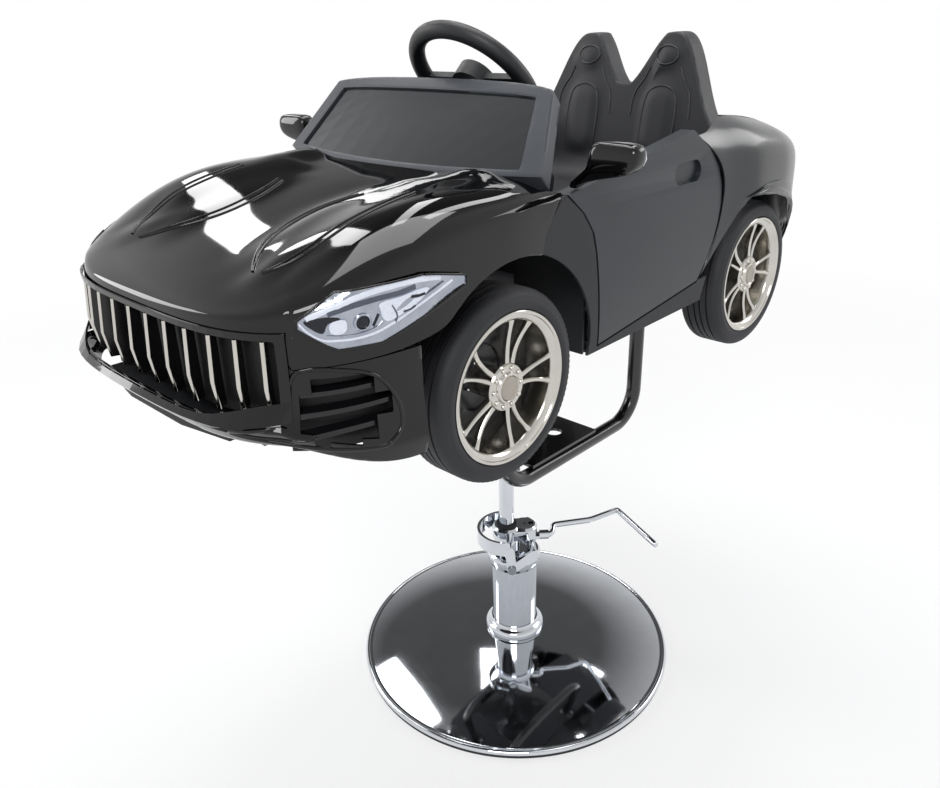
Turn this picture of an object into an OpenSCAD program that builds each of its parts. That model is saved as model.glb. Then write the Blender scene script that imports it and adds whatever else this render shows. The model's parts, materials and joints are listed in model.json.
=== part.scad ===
// Children's barber chair: a small sports car body with a moulded seat, carried by a
// tube cradle on a pedal-operated hydraulic pump with a round domed foot.
// Millimetres. +Z is up, the car faces -Y, its left side is +X.
// The origin is on the floor, under the axis on which the chair lifts and swivels.

/* [Foot and pump] */
// Radius of the round foot
base_r = 300; // [240:5:360]
// Height of the domed cover over the floor at the pump tube
dome_h = 46; // [34:1:60]
// Sheet thickness of the domed cover
sheet_t = 2.5; // [1.5:0.5:4]
// Thickness of the steel plate under the cover
plate_t = 8; // [6:1:12]
// Outer radius of the pump's outer tube
tube_r = 43; // [38:1:50]
// Wall of the pump's outer tube
tube_wall = 3; // [2:0.5:5]
// Height of the outer tube's top over the floor
tube_top = 205; // [180:5:240]
// Radius of the lifting rod
rod_r = 14; // [11:1:17]
// How far the rod stands off the outer tube's axis
rod_offset = 14.5; // [8:0.5:18]
// Direction of the foot lever seen from above, from the car's left
lever_az = 46; // [30:1:60]
// Radius of the round foot bar
pedal_r = 6; // [5:0.5:8]
// Travel of the lift
lift_travel = 150; // [80:10:160]

/* [Cradle] */
// Outer radius of the bent cradle tubes
cradle_r = 13.5; // [11:0.5:16]
// Half the distance between the two cradle tubes
cradle_half_gap = 100; // [80:5:112]
// Height of the cradle tubes' lower run over the floor
cradle_z = 446; // [430:2:480]
// Radius of the bends in the cradle tubes
cradle_bend_r = 62; // [45:1:80]
// Place of the front legs along the car
cradle_front_y = -118; // [-150:2:-90]
// Place of the rear legs along the car
cradle_rear_y = 257; // [230:1:270]
// Thickness of the swivel plate on the tubes
cradle_plate_t = 6; // [4:1:10]

/* [Car body] */
// Place of the front bumper's tip along the car
nose_y = -620; // [-660:5:-600]
// Place of the tail's tip along the car
tail_y = 600; // [580:5:640]
// Half width of the body at the doors
waist_w = 264; // [260:1:280]
// How much the front wings stand out past the doors
front_flare = 6; // [2:1:10]
// How much the rear wings stand out past the doors
rear_flare = 22; // [12:1:26]
// Height of the sill's lower edge over the floor
sill_z = 722; // [715:1:730]
// Height of the bonnet's front edge
bonnet_front_z = 893; // [880:1:905]
// Height of the bonnet at the windscreen
cowl_z = 977; // [970:1:985]
// Wall of the moulded body skins
skin_t = 4; // [3:0.5:6]
// Opening clearance round the doors
door_gap = 3.5; // [2.5:0.5:5]
// Thickness of the doors
door_t = 22; // [18:1:26]

/* [Wheels] */
// Place of the front axle along the car
front_axle_y = -284.5; // [-290:0.5:-280]
// Place of the rear axle along the car
rear_axle_y = 360.5; // [356:0.5:366]
// Height of the axles over the floor
axle_z = 731; // [726:1:736]
// Outer radius of the tyres
tyre_r = 127; // [118:1:130]
// Width of the tyres
tyre_w = 74; // [60:1:78]
// Outer radius of the bright rims
rim_r = 100; // [92:1:104]
// Number of paired spokes in a rim
spoke_pairs = 5; // [4:1:6]
// Half the width over the tyres
track_half = 262; // [256:1:264]
// Radius of the wheel arches
arch_r = 168; // [162:1:172]

/* [Cabin] */
// Height of the windscreen's top edge over the floor
screen_top_z = 1078; // [1060:2:1090]
// Place of the windscreen's top edge along the car
screen_top_y = -137; // [-150:1:-125]
// Middle radius of the steering wheel's rim
wheel_rim_r = 96; // [85:1:104]
// Radius of the steering wheel's grip
grip_r = 12; // [9:0.5:14]
// Tilt of the steering wheel's axis over the horizontal
column_tilt = 43; // [30:1:50]
// Height of the seat back's two peaks over the floor
seat_peak_z = 1126; // [1090:2:1140]
// Half the distance between the seat back's peaks
seat_peak_x = 86; // [80:1:100]
// Width of the seat
seat_w = 372; // [340:2:384]

/* [Hidden] */

// Facets of curves
$fn = 64;
// Overrun of cuts past the faces that they open
over = 1;
// Radial clearance of running fits, and gap between pieces that move past each other
run_gap = 0.06;
part_gap = 0.4;

// Foot and pump
plate_r = base_r - 14;
rim_roll_r = 5;
rim_roll_from = 50;
rim_roll_steps = 22;
dome_power = 1.7;
dome_steps = 22;
collar_r = 57;
collar_h = 15;
collar_step_r = 50;
collar_step_h = 6;
cylinder_wall = 3;
cylinder_r = rod_r + 4;
cylinder_top = tube_top - 6;
piston_h = 18;
piston_z = plate_t + 6;
rod_bottom = piston_z + piston_h + part_gap;
skirt_r = 50;
skirt_bottom = tube_top - 8;
skirt_taper_h = 9;
skirt_top = tube_top + 20;
neck_r = 25;
cap_bottom = skirt_top + 30;
cap_top = cap_bottom + 24;
cap_r = 27;
cap_chamfer = 4;
cap_lobe_r = 24;
cap_lobe_x = 34;
valve_hole_r = 2.6;
valve_hole_depth = 8;
seal_h = 4;
seal_r = rod_r + 5;
pivot_x = 5;
pivot_z = tube_top + 9;
pivot_r = 5;
pivot_head_r = 8;
pivot_head_h = 4;
plunger_x = 46;
plunger_r = 5;
plunger_head_r = 9;
plunger_head_h = 4;
yoke_bar_r = 6;
yoke_bar_z = skirt_top + 21;
plunger_top = yoke_bar_z - yoke_bar_r - 0.3 * part_gap;
plunger_len = 46;
plunger_stroke = 15;
spring_wire = 1.2;
yoke_arm_t = 6;
yoke_arm_y = skirt_r + 1.5;
yoke_arm_r = 9;
yoke_bow_r = 42;
yoke_bow_t = 8;
yoke_bow_h = 28;
yoke_bow_z = cap_bottom - 10;
yoke_bow_x = -6;
pedal_socket_r = 10;
pedal_socket_x = 64;
pedal_level = yoke_bar_z + 12;
pedal_path = [[92, 22, pedal_level], [166, 33, pedal_level], [226, 64, pedal_level], [272, -62, pedal_level]];
pedal_bend = 7;
pedal_bend_steps = 5;
pedal_sides = 14;

// Cradle
socket_r = 23;
socket_h = 62;
socket_top = cradle_z + cradle_r;
socket_mouth_h = 10;
plate_front_y = -96;
plate_rear_y = 128;
plate_half_w = cradle_half_gap + 6;
plate_lighten_r = 14;
plate_step_y = cradle_front_y + cradle_bend_r + 4;
plate_tongue_w = cradle_half_gap - cradle_r - 2;
flange_size = 54;
flange_t = 5;
tub_floor_z = 744;
tub_wall = 4;
cradle_top_z = tub_floor_z - tub_wall;
bolt_r = 4;
bolt_head_r = 7;
bolt_head_h = 5;
bolt_pitch = [32, 36];

// Shape of the body, by shares of the sizes that they follow
nose_square = 3.6;
tail_square = 3.0;
front_round_y = -330;
rear_round_y = 310;
roll_power = 5;
shoulder_front_z = 872;
shoulder_arch_z = 914;
bonnet_crown = 8;
wing_rise = 26;
wing_x = 215;
wing_x_len = 62;
wing_y = -410;
wing_y_len = 125;
bulge_rise = 7;
arc_mid_z = 850;
arc_r = 760;
cowl_mid_y = -253;
cowl_side_y = -219;
clip_edge_y = -184;
clip_seam_y = -228;
skin_e = 0.015;

function bell(t) = exp(-t * t);
function mix(a, b, t) = a + (b - a) * t;
function clamp01(t) = min(1, max(0, t));
function ease(t) = let (c = clamp01(t)) c * c * (3 - 2 * c);
function unit(v) = v / norm(v);
function half_w(y) = waist_w + front_flare * ease((clip_edge_y - y) / 110)
    + rear_flare * ease((y - 190) / 150);
function side_drop(z) = pow(z - arc_mid_z, 2) / (2 * arc_r);

// Where the square grid line (a, b) meets the rounded plan, as shares of its two half sizes
function round_share(a, b, p) = let (n = pow(pow(abs(a), p) + pow(abs(b), p), 1 / p))
    n == 0 ? [0, 0] : [a, b] * max(abs(a), abs(b)) / n;

// Front end: a square grid is rounded into the plan; past its edge it runs down the walls
bulge_tip_y = -548;
bulge_len = 290;
bulge_mid_x = 136;
bulge_half_w = 52;
bulge_end_w = 22;
clip_lip_z = 868;
clip_side_z = 838;
clip_lamp_share = 0.93;
clip_arch_share = 1.6;
arch_front_angle = 140;
arch_clip_angle = 73;

function bulge_share(x, y) = let (
        t = clamp01((y - bulge_tip_y) / bulge_len),
        c = bulge_mid_x * (1 + 0.25 * t - 0.24 * sin(180 * t)),
        w = bulge_half_w * sin(180 * pow(t, 0.7)) + bulge_end_w * t * t)
    w <= 0 ? 0 : 1 - ease((abs(abs(x) - c) / w - 0.85) / 0.3);
function bonnet_z(x, y) = let (t = clamp01((y - nose_y) / (cowl_mid_y - nose_y)))
    mix(bonnet_front_z, cowl_z, t) + bonnet_crown * sin(180 * t)
    + wing_rise * bell((abs(x) - wing_x) / wing_x_len) * bell((y - wing_y) / wing_y_len)
    + bulge_rise * bulge_share(x, y);
function shoulder_z(y) = mix(shoulder_front_z, shoulder_arch_z, ease((y + 560) / 140));
function roll_z(low, high, r) = low + (high - low) * pow(max(0, 1 - pow(min(1, r), roll_power)), 1 / roll_power);
front_len = front_round_y - nose_y;
front_half = half_w(front_round_y);
function cowl_y(u) = abs(u) > 0.97 ? mix(clip_edge_y, clip_seam_y, pow((abs(u) - 0.97) / 0.03, 4))
    : abs(u) > 0.94 ? mix(cowl_side_y, clip_edge_y, ease((abs(u) - 0.94) / 0.03))
    : mix(cowl_mid_y, cowl_side_y, pow(u / 0.94, 2));
function front_side_x(y, z) = (y >= front_round_y ? half_w(y)
    : front_half * pow(max(0, 1 - pow((front_round_y - y) / front_len, nose_square)), 1 / nose_square))
    - side_drop(z) + side_drop(shoulder_arch_z);

// Plan point of the nose ring at w: 0 is the middle of the front, 1 the corner, 2 the side
function ring_ab(w) = let (s = sign(w), a = abs(w)) a < 1 ? [w, -1] : [s, min(0, a - 2)];
function nose_xy(w, r = 1) = let (q = ring_ab(w), s = round_share(q[0], q[1], nose_square))
    [s[0] * front_half * r, front_round_y + s[1] * front_len * r];
// Share of the ring at which the rolled surface has the height z
function nose_reach(w, z) = let (p = nose_xy(w), low = shoulder_z(p[1]), high = bonnet_z(p[0], p[1]) + 2)
    z <= low ? 1 : pow(max(0, 1 - pow(min(1, (z - low) / (high - low)), roll_power)), 1 / roll_power);
function nose_pt(w, z, off = 0) = let (r = nose_reach(w, z), p = nose_xy(w, r), q = nose_xy(w))
    concat(p + off * unit([q[0] / front_half, (q[1] - front_round_y) / front_len]), [z]);

// Height of the joint between the clip and the bumper: it steps down outside the grille
function lip_line(w) = mix(clip_lip_z, clip_side_z, clamp01((abs(w) - lip_from) / (lip_to - lip_from)));
function clip_low(w) = let (s = sign(w), a = abs(w))
    a < clip_arch_share ? concat(nose_xy(w), [lip_line(w)])
    : let (g = mix(arch_front_angle, arch_clip_angle, (a - clip_arch_share) / (3 - clip_arch_share)),
        y = front_axle_y + arch_r * cos(g), z = axle_z + arch_r * sin(g))
        [s * front_side_x(y, z), y, z];
function clip_top(u, v) = let (a = clamp(u), b = max(-1, v), s = round_share(a, min(0, b), nose_square),
        x = v < 0 ? s[0] * front_half : 0,
        y = v < 0 ? front_round_y + s[1] * front_len : mix(front_round_y, cowl_y(a), v),
        r = v < 0 ? max(abs(a), abs(b)) : abs(a),
        xx = v < 0 ? x : a * half_w(y))
    [xx, y, roll_z(shoulder_z(y), bonnet_z(xx, y), r)];
function clamp(u) = min(1, max(-1, u));
function clip_pt(u, v) = abs(u) <= 1 && v >= -1 ? clip_top(u, v)
    : let (d = max(abs(u) - 1, -1 - v, 0),
        w = abs(u) > 1 ? sign(u) * (2 + max(-1, v)) : clamp(u),
        top = clip_top(u, v), low = clip_low(abs(u) > 1 ? w : u), p = mix(top, low, d))
    p;

// Inward normal of a grid surface f at (u, v)
function inward(f, u, v, u0, u1, v0, v1, flip = 1) = let (
        a = f(min(u1, u + skin_e), v) - f(max(u0, u - skin_e), v),
        b = f(u, min(v1, v + skin_e)) - f(u, max(v0, v - skin_e)), n = cross(a, b))
    norm(n) < 1e-9 ? [0, 0, -1] : -flip * n / norm(n);

// Closed skin between two grids of points, [column][row]. state(i, j) of a cell is 1 where
// there is skin, 0 where it is open and 2 where the grid folds onto itself. home(i, j) is
// the grid point that stands for (i, j).
module skin(outer, inner, state, home = function (i, j) [i, j]) {
    nu = len(outer) - 1;
    nv = len(outer[0]) - 1;
    under = (nu + 1) * (nv + 1);
    at = function (i, j) let (h = home(i, j)) h[0] * (nv + 1) + h[1];
    open = function (i, j) i < 0 || j < 0 || i >= nu || j >= nv ? true : state(i, j) == 0;
    side = function (p, q) [[p, q, q + under], [p, q + under, p + under]];
    faces = [for (i = [0:nu - 1], j = [0:nv - 1]) if (state(i, j) == 1)
        let (a = at(i, j), b = at(i + 1, j), c = at(i + 1, j + 1), d = at(i, j + 1))
        each concat(
            [[a, c, b], [a, d, c], [a + under, b + under, c + under], [a + under, c + under, d + under]],
            open(i, j - 1) ? side(a, b) : [], open(i, j + 1) ? side(c, d) : [],
            open(i - 1, j) ? side(d, a) : [], open(i + 1, j) ? side(b, c) : [])];
    polyhedron(points = concat([for (col = outer) each col], [for (col = inner) each col]), faces = faces);
}

// Grid lines: n steps from -1 to 1, closer near the ends
function round_lines(n) = [for (i = [0:n]) sin(-90 + 180 * i / n)];
wall_steps = 3;
clip_cols = 26;
lip_from = sin(90 - 4 * 180 / clip_cols);
lip_to = sin(90 - 2 * 180 / clip_cols);
clip_front_rows = 9;
clip_rear_rows = 6;
clip_u = concat([for (k = [wall_steps:-1:1]) -1 - k / wall_steps], round_lines(clip_cols),
    [for (k = [1:wall_steps]) 1 + k / wall_steps]);
clip_v = concat([for (k = [wall_steps:-1:1]) -1 - k / wall_steps],
    [for (j = [0:clip_front_rows]) -cos(90 * j / clip_front_rows)],
    [for (j = [1:clip_rear_rows]) j / clip_rear_rows]);

module front_clip() {
    f = function (u, v) clip_pt(u, v);
    outer = [for (u = clip_u) [for (v = clip_v) f(u, v)]];
    inner = [for (u = clip_u) [for (v = clip_v)
        let (cu = v < -1 ? clamp(u) : u, cv = abs(u) > 1 ? max(-1, v) : v)
        f(u, v) + skin_t * inward(f, cu, cv, abs(cu) > 1 ? -2 : -1, abs(cu) > 1 ? 2 : 1, cv < -1 ? -2 : -1, 1)]];
    last = len(clip_u) - 1;
    state = function (i, j) j < wall_steps && (i < wall_steps || i >= last - wall_steps) ? 2 : 1;
    home = function (i, j) j < wall_steps && i == wall_steps ? [j, wall_steps]
        : j < wall_steps && i == last - wall_steps ? [last - j, wall_steps] : [i, j];
    color("#0b0b0d") skin(outer, inner, state, home);
}

// Solid through a list of rings of as many points each
module loft(rings) {
    n = len(rings[0]);
    last = (len(rings) - 1) * n;
    polyhedron(points = [for (r = rings) each r], faces = concat(
        [for (k = [1:n - 2]) [0, k, k + 1]],
        [for (i = [0:len(rings) - 2], k = [0:n - 1]) let (a = i * n + k, b = i * n + (k + 1) % n)
            each [[a, b + n, b], [a, a + n, b + n]]],
        [for (k = [1:n - 2]) [last, last + k + 1, last + k]]));
}
// Round bar from p to q
module rod(p, q, r) {
    v = q - p;
    translate(p) rotate([0, acos(v[2] / norm(v)), atan2(v[1], v[0])]) cylinder(r = r, h = norm(v));
}
// Path with its corners rounded, each by a curve that starts `bend` before the corner
function rounded_path(path, bend, steps) = let (last = len(path) - 1) concat([path[0]],
    [for (k = [1:last - 1]) let (p = path[k], a = p - bend * unit(p - path[k - 1]), b = p + bend * unit(path[k + 1] - p))
        for (i = [0:steps]) mix(mix(a, p, i / steps), mix(p, b, i / steps), i / steps)], [path[last]]);
// Round bar along a path that is nowhere upright
module bar(path, r, sides) {
    last = len(path) - 1;
    loft([for (k = [0:last]) let (dir = unit(path[min(last, k + 1)] - path[max(0, k - 1)]), side = unit(cross(dir, [0, 0, 1])))
        [for (j = [0:sides - 1]) let (b = 360 * j / sides) path[k] + r * (cos(b) * side + sin(b) * cross(dir, side))]]);
}
// A solid across the car of an outline given along the car and up
module across(x0, x1) { translate([x0, 0, 0]) rotate([90, 0, 90]) linear_extrude(x1 - x0) children(); }
// A block between two corners
module block(a, b) { translate(a) cube(b - a); }
module both_sides() {
    children();
    mirror([1, 0, 0]) children();
}

// Pump: its own frame has the lever along +X and the lifting rod at the origin
module pump_frame() { rotate([0, 0, lever_az]) children(); }
module at_tube() { pump_frame() translate([rod_offset, 0, 0]) children(); }
floor_ring_h = 5;
rim_z = floor_ring_h + rim_roll_r;
dome_hole_r = tube_r + part_gap;
dome_edge_r = base_r - rim_roll_r - rim_roll_r * cos(rim_roll_from);
function dome_z(r) = mix(dome_h, rim_z + rim_roll_r * sin(rim_roll_from), pow((r - dome_hole_r) / (dome_edge_r - dome_hole_r), dome_power));

module base_cover() {
    radii = [for (k = [0:dome_steps]) mix(dome_hole_r, dome_edge_r, k / dome_steps)];
    roll_from = 180 - rim_roll_from;
    roll_to = -180 - asin((dome_z(dome_edge_r) - sheet_t - rim_z) / rim_roll_r);
    color("#c9ccd1") at_tube() rotate_extrude($fn = 128) polygon(concat(
        [for (k = [0:dome_steps - 1]) [radii[k], dome_z(radii[k])]],
        [for (k = [0:rim_roll_steps]) let (a = mix(roll_from, roll_to, k / rim_roll_steps))
            [base_r - rim_roll_r + rim_roll_r * cos(a), rim_z + rim_roll_r * sin(a)]],
        [for (k = [dome_steps - 1:-1:0]) [radii[k], dome_z(radii[k]) - sheet_t]]));
}
module base_plate() {
    color("#4a4c50") at_tube() cylinder(r = plate_r, h = plate_t, $fn = 128);
}
module floor_ring() {
    color("#1b1b1d") at_tube() difference() {
        cylinder(r = base_r - floor_ring_h / 2, h = floor_ring_h, $fn = 128);
        translate([0, 0, -over]) cylinder(r = plate_r + part_gap, h = floor_ring_h + 2 * over, $fn = 128);
    }
}
collar_z = dome_h + part_gap;
module collar_ring() {
    color("#d5d8dd") at_tube() difference() {
        union() {
            translate([0, 0, collar_z]) cylinder(r = collar_r, h = collar_h);
            translate([0, 0, collar_z + collar_h]) cylinder(r1 = collar_step_r, r2 = tube_r + sheet_t, h = collar_step_h);
        }
        translate([0, 0, collar_z - over]) cylinder(r = tube_r + run_gap, h = collar_h + collar_step_h + 2 * over);
    }
}
module outer_tube() {
    color("#cfd2d7") at_tube() translate([0, 0, plate_t]) difference() {
        cylinder(r = tube_r, h = tube_top - plate_t);
        translate([0, 0, -over]) cylinder(r = tube_r - tube_wall, h = tube_top + over);
    }
}
module inner_cylinder() {
    color("#8d9096") translate([0, 0, plate_t]) difference() {
        cylinder(r = cylinder_r, h = cylinder_top - plate_t);
        translate([0, 0, -over]) cylinder(r = cylinder_r - cylinder_wall, h = cylinder_top + over);
    }
}
well_r = plunger_head_r + 3 * part_gap;
well_z = skirt_top - plunger_stroke + 3;
pivot_in_y = skirt_r * 0.6;
module pump_head() {
    color("#c4c8ce") pump_frame() difference() {
        union() {
            translate([rod_offset, 0, 0]) rotate_extrude() polygon([[0, skirt_bottom], [tube_r + tube_wall, skirt_bottom],
                [skirt_r, skirt_bottom + skirt_taper_h], [skirt_r, skirt_top - cap_chamfer],
                [skirt_r - cap_chamfer, skirt_top], [0, skirt_top]]);
            translate([0, 0, skirt_top - over]) cylinder(r = neck_r, h = cap_bottom - skirt_top + 2 * over);
            for (k = [[0, cap_r], [cap_lobe_x, cap_lobe_r]]) translate([k[0], 0, cap_bottom]) {
                cylinder(r = k[1], h = cap_top - cap_bottom - cap_chamfer);
                translate([0, 0, cap_top - cap_bottom - cap_chamfer])
                    cylinder(r1 = k[1], r2 = k[1] - cap_chamfer, h = cap_chamfer);
            }
            block([0, -cap_lobe_r, cap_bottom], [cap_lobe_x, cap_lobe_r, cap_top - cap_chamfer]);
        }
        translate([0, 0, skirt_bottom - over]) cylinder(r = rod_r + run_gap, h = cap_top - skirt_bottom + 2 * over);
        translate([rod_offset, 0, skirt_bottom - over]) cylinder(r = tube_r + run_gap, h = tube_top - skirt_bottom + over);
        translate([plunger_x, 0, skirt_bottom]) cylinder(r = plunger_r + run_gap, h = skirt_top);
        translate([plunger_x, 0, well_z]) cylinder(r = well_r, h = cap_bottom - well_z - over);
        translate([cap_lobe_x, 0, cap_top - valve_hole_depth]) cylinder(r = valve_hole_r, h = valve_hole_depth + over);
        for (s = [-1, 1]) translate([pivot_x, s * pivot_in_y, pivot_z]) rotate([-90 * s, 0, 0])
            cylinder(r = pivot_r + run_gap, h = skirt_r);
    }
}
module rod_seal() {
    color("#1b1b1d") translate([0, 0, cap_top]) difference() {
        cylinder(r = seal_r, h = seal_h);
        translate([0, 0, -over]) cylinder(r = rod_r + run_gap, h = seal_h + 2 * over);
    }
}
module plunger() {
    color("#b9bcc2") pump_frame() translate([plunger_x, 0, 0]) {
        translate([0, 0, plunger_top - plunger_len]) cylinder(r = plunger_r, h = plunger_len);
        translate([0, 0, plunger_top - plunger_head_h]) cylinder(r = plunger_head_r, h = plunger_head_h);
    }
}
spring_turns = 3;
spring_steps = 24;
spring_sides = 6;
spring_r = plunger_r + 2 * spring_wire;
spring_low = well_z + spring_wire + run_gap;
spring_high = plunger_top - plunger_head_h - spring_wire - run_gap;
function spring_pt(k) = let (a = 360 * k / spring_steps)
    [spring_r * cos(a), spring_r * sin(a), mix(spring_low, spring_high, k / (spring_turns * spring_steps))];
spring_gap = min([for (k = [0:(spring_turns - 1) * spring_steps], j = [spring_steps / 2:spring_steps])
    norm(spring_pt(k + j) - spring_pt(k))]) - 2 * spring_wire;
module plunger_spring() {
    echo(least_gap_of_spring = spring_gap);
    color("#85888e") pump_frame() translate([plunger_x, 0, 0])
        loft([for (k = [0:spring_turns * spring_steps]) let (a = 360 * k / spring_steps)
            [for (j = [0:spring_sides - 1]) let (b = 360 * j / spring_sides)
                spring_pt(k) + spring_wire * [cos(a) * cos(b), sin(a) * cos(b), -sin(b)]]]);
}
link_waist = 0.3;
// Flat link between two eyes, in the plane of the pump's lever
module link(p, q, r) {
    translate(p) circle(r);
    translate(q) circle(r);
    translate(p) rotate(atan2(q[1] - p[1], q[0] - p[0])) translate([0, link_waist - r]) square([norm(q - p), 2 * (r - link_waist)]);
}
bow_r = yoke_arm_y + yoke_arm_t;
bow_x = yoke_bow_x + yoke_arm_t + 1;
bow_inset = 0.5;
yoke_neck_x = pedal_socket_x - 2;
yoke_neck_w = 16;
socket_len = 18;
socket_deep = 10;
socket_z = yoke_bar_z + pedal_r;
module pedal_yoke() {
    color("#c4c8ce") pump_frame() difference() {
        union() {
            for (s = [-1, 1]) translate([0, s > 0 ? bow_r : -yoke_arm_y, 0]) rotate([90, 0, 0]) linear_extrude(yoke_arm_t) {
                link([pivot_x, pivot_z], [plunger_x, yoke_bar_z], yoke_arm_r);
                link([pivot_x, pivot_z], [bow_x, yoke_bow_z + yoke_arm_r], yoke_arm_r);
            }
            translate([plunger_x, bow_r, yoke_bar_z]) rotate([90, 0, 0]) cylinder(r = yoke_bar_r, h = 2 * bow_r);
            intersection() {
                translate([bow_x, 0, yoke_bow_z]) difference() {
                    cylinder(r = bow_r - bow_inset, h = yoke_bow_h);
                    translate([0, 0, -over]) cylinder(r = yoke_arm_y + bow_inset, h = yoke_bow_h + 2 * over);
                }
                block([bow_x - bow_r - over, -bow_r - over, yoke_bow_z - over], [bow_x, bow_r + over, yoke_bow_z + yoke_bow_h + over]);
            }
            block([plunger_x, -yoke_neck_w / 2, yoke_bar_z], [yoke_neck_x + over, yoke_neck_w / 2, cap_bottom - 2]);
            translate([yoke_neck_x, 0, socket_z]) rotate([0, 90, 0]) cylinder(r = pedal_socket_r - over, h = socket_len);
        }
        translate([yoke_neck_x + socket_len - socket_deep, 0, socket_z]) rotate([0, 90, 0])
            cylinder(r = pedal_r + run_gap, h = socket_deep + over);
        translate([pivot_x, bow_r + over, pivot_z]) rotate([90, 0, 0]) cylinder(r = pivot_r + run_gap, h = 2 * (bow_r + over));
    }
}
module pedal_bar() {
    start_x = yoke_neck_x + socket_len - socket_deep + part_gap;
    path = concat([[start_x, 0, socket_z], [start_x + 1.6 * socket_deep, 0, socket_z]], pedal_path);
    color("#d5d8dd") pump_frame() bar(rounded_path(path, pedal_bend, pedal_bend_steps), pedal_r, pedal_sides);
}
module pivot_pin() {
    color("#8d9096") pump_frame() for (s = [-1, 1]) translate([pivot_x, s * (pivot_in_y + part_gap), pivot_z]) rotate([-90 * s, 0, 0]) {
        cylinder(r = pivot_r, h = bow_r - pivot_in_y + over);
        translate([0, 0, bow_r - pivot_in_y]) cylinder(r = pivot_head_r, h = pivot_head_h);
    }
}
module lift_piston() {
    color("#8d9096") translate([0, 0, piston_z]) cylinder(r = cylinder_r - cylinder_wall - run_gap, h = piston_h);
}
rod_top = socket_top - socket_mouth_h / 2;
module lift_rod() {
    color("#d5d8dd") translate([0, 0, rod_bottom]) cylinder(r = rod_r, h = rod_top - rod_bottom);
}

// Cradle
module swivel_socket() {
    color("#141416") difference() {
        union() {
            translate([0, 0, socket_top - socket_h]) cylinder(r = socket_r, h = socket_h);
            translate([0, 0, socket_top - socket_h]) cylinder(r = socket_r + 3, h = socket_mouth_h);
        }
        translate([0, 0, socket_top - socket_h - over]) cylinder(r = rod_r + run_gap, h = rod_top - socket_top + socket_h + over + part_gap);
    }
}
module cradle_plate() {
    mid = (plate_front_y + plate_rear_y) / 2;
    half = (plate_rear_y - plate_front_y) / 2;
    color("#141416") translate([0, 0, socket_top + part_gap / 4]) difference() {
        union() {
            block([-plate_half_w, plate_step_y, 0], [plate_half_w, plate_rear_y, cradle_plate_t]);
            block([-plate_tongue_w, plate_front_y, 0], [plate_tongue_w, plate_step_y + over, cradle_plate_t]);
        }
        for (s = [-1, 1]) translate([s * plate_half_w / 2, mid + half / 2, -over])
            cylinder(r = plate_lighten_r, h = cradle_plate_t + 2 * over);
    }
}
flange_z = cradle_top_z - flange_t;
module bolt_places() {
    for (s = [-1, 1]) translate([s * bolt_pitch[0] / 2, s * bolt_pitch[1] / 2, 0]) children();
}
module at_flanges() {
    for (x = [-cradle_half_gap, cradle_half_gap], y = [cradle_front_y, cradle_rear_y]) translate([x, y, 0]) children();
}
module cradle_tube(side) {
    bend_z = cradle_z + cradle_bend_r;
    color("#0e0e10") translate([side * cradle_half_gap, 0, 0]) {
        difference() {
            union() for (y = [cradle_front_y, cradle_rear_y]) {
                translate([0, y, bend_z]) cylinder(r = cradle_r, h = flange_z - bend_z + over);
                block([-flange_size / 2, y - flange_size / 2, flange_z], [flange_size / 2, y + flange_size / 2, cradle_top_z - part_gap / 4]);
            }
            for (y = [cradle_front_y, cradle_rear_y]) translate([0, y, flange_z - over]) bolt_places()
                cylinder(r = bolt_r + run_gap, h = flange_t + 2 * over);
        }
        for (k = [[cradle_front_y + cradle_bend_r, 180], [cradle_rear_y - cradle_bend_r, 270]])
            translate([0, k[0], bend_z]) rotate([90, 0, 90]) rotate([0, 0, k[1]])
                rotate_extrude(angle = 90, $fn = 128) translate([cradle_bend_r, 0]) circle(cradle_r, $fn = 48);
        translate([0, cradle_front_y + cradle_bend_r, cradle_z]) rotate([-90, 0, 0])
            cylinder(r = cradle_r, h = cradle_rear_y - cradle_front_y - 2 * cradle_bend_r, $fn = 48);
    }
}
module cradle_tube_left() { cradle_tube(1); }
module cradle_tube_right() { cradle_tube(-1); }
module cradle_bolts() {
    color("#8d9096") at_flanges() bolt_places() {
        translate([0, 0, flange_z - bolt_head_h]) cylinder(r = bolt_head_r, h = bolt_head_h - part_gap / 4, $fn = 6);
        translate([0, 0, flange_z - over]) cylinder(r = bolt_r, h = tub_floor_z - flange_z + bolt_head_h + over);
        translate([0, 0, tub_floor_z + part_gap / 4]) cylinder(r = bolt_head_r, h = bolt_head_h, $fn = 6);
    }
}

// Door seams and openings, as heights and places along the car
door_foot_y = -93;
door_foot_z = 733;
door_lean = 0.17;
door_kink_z = 881;
door_kink_share = 0.0084;
door_top_front_z = 952;
door_top_slope = 0.145;
seam_rear_y = 215;
seam_rear_z = 905;
seam_low_share = 0.0026;
seam_high_share = 0.0093;
door_top_end_z = 997;
door_low_end_z = 766;
door_steps = 8;
function seam_front(z) = door_foot_y - (z - door_foot_z) * door_lean
    - door_kink_share * pow(max(0, z - door_kink_z), 2);
function seam_rear(z) = seam_rear_y - (z < seam_rear_z ? seam_low_share : seam_high_share) * pow(z - seam_rear_z, 2);
function door_top(y) = door_top_front_z + (y - seam_front(door_top_front_z)) * door_top_slope;
// Outline of the door; grow makes it larger all round
function door_outline(grow) = let (
        z0 = door_foot_z - grow, z1 = door_low_end_z - grow, z2 = door_top_end_z + grow, z3 = door_top_front_z + grow)
    concat(
        [for (i = [0:door_steps]) let (z = mix(z3, z0, i / door_steps)) [seam_front(z) - grow, z]],
        [for (i = [0:door_steps]) let (z = mix(z1, z2, i / door_steps)) [seam_rear(z) + grow, z]]);

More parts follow.
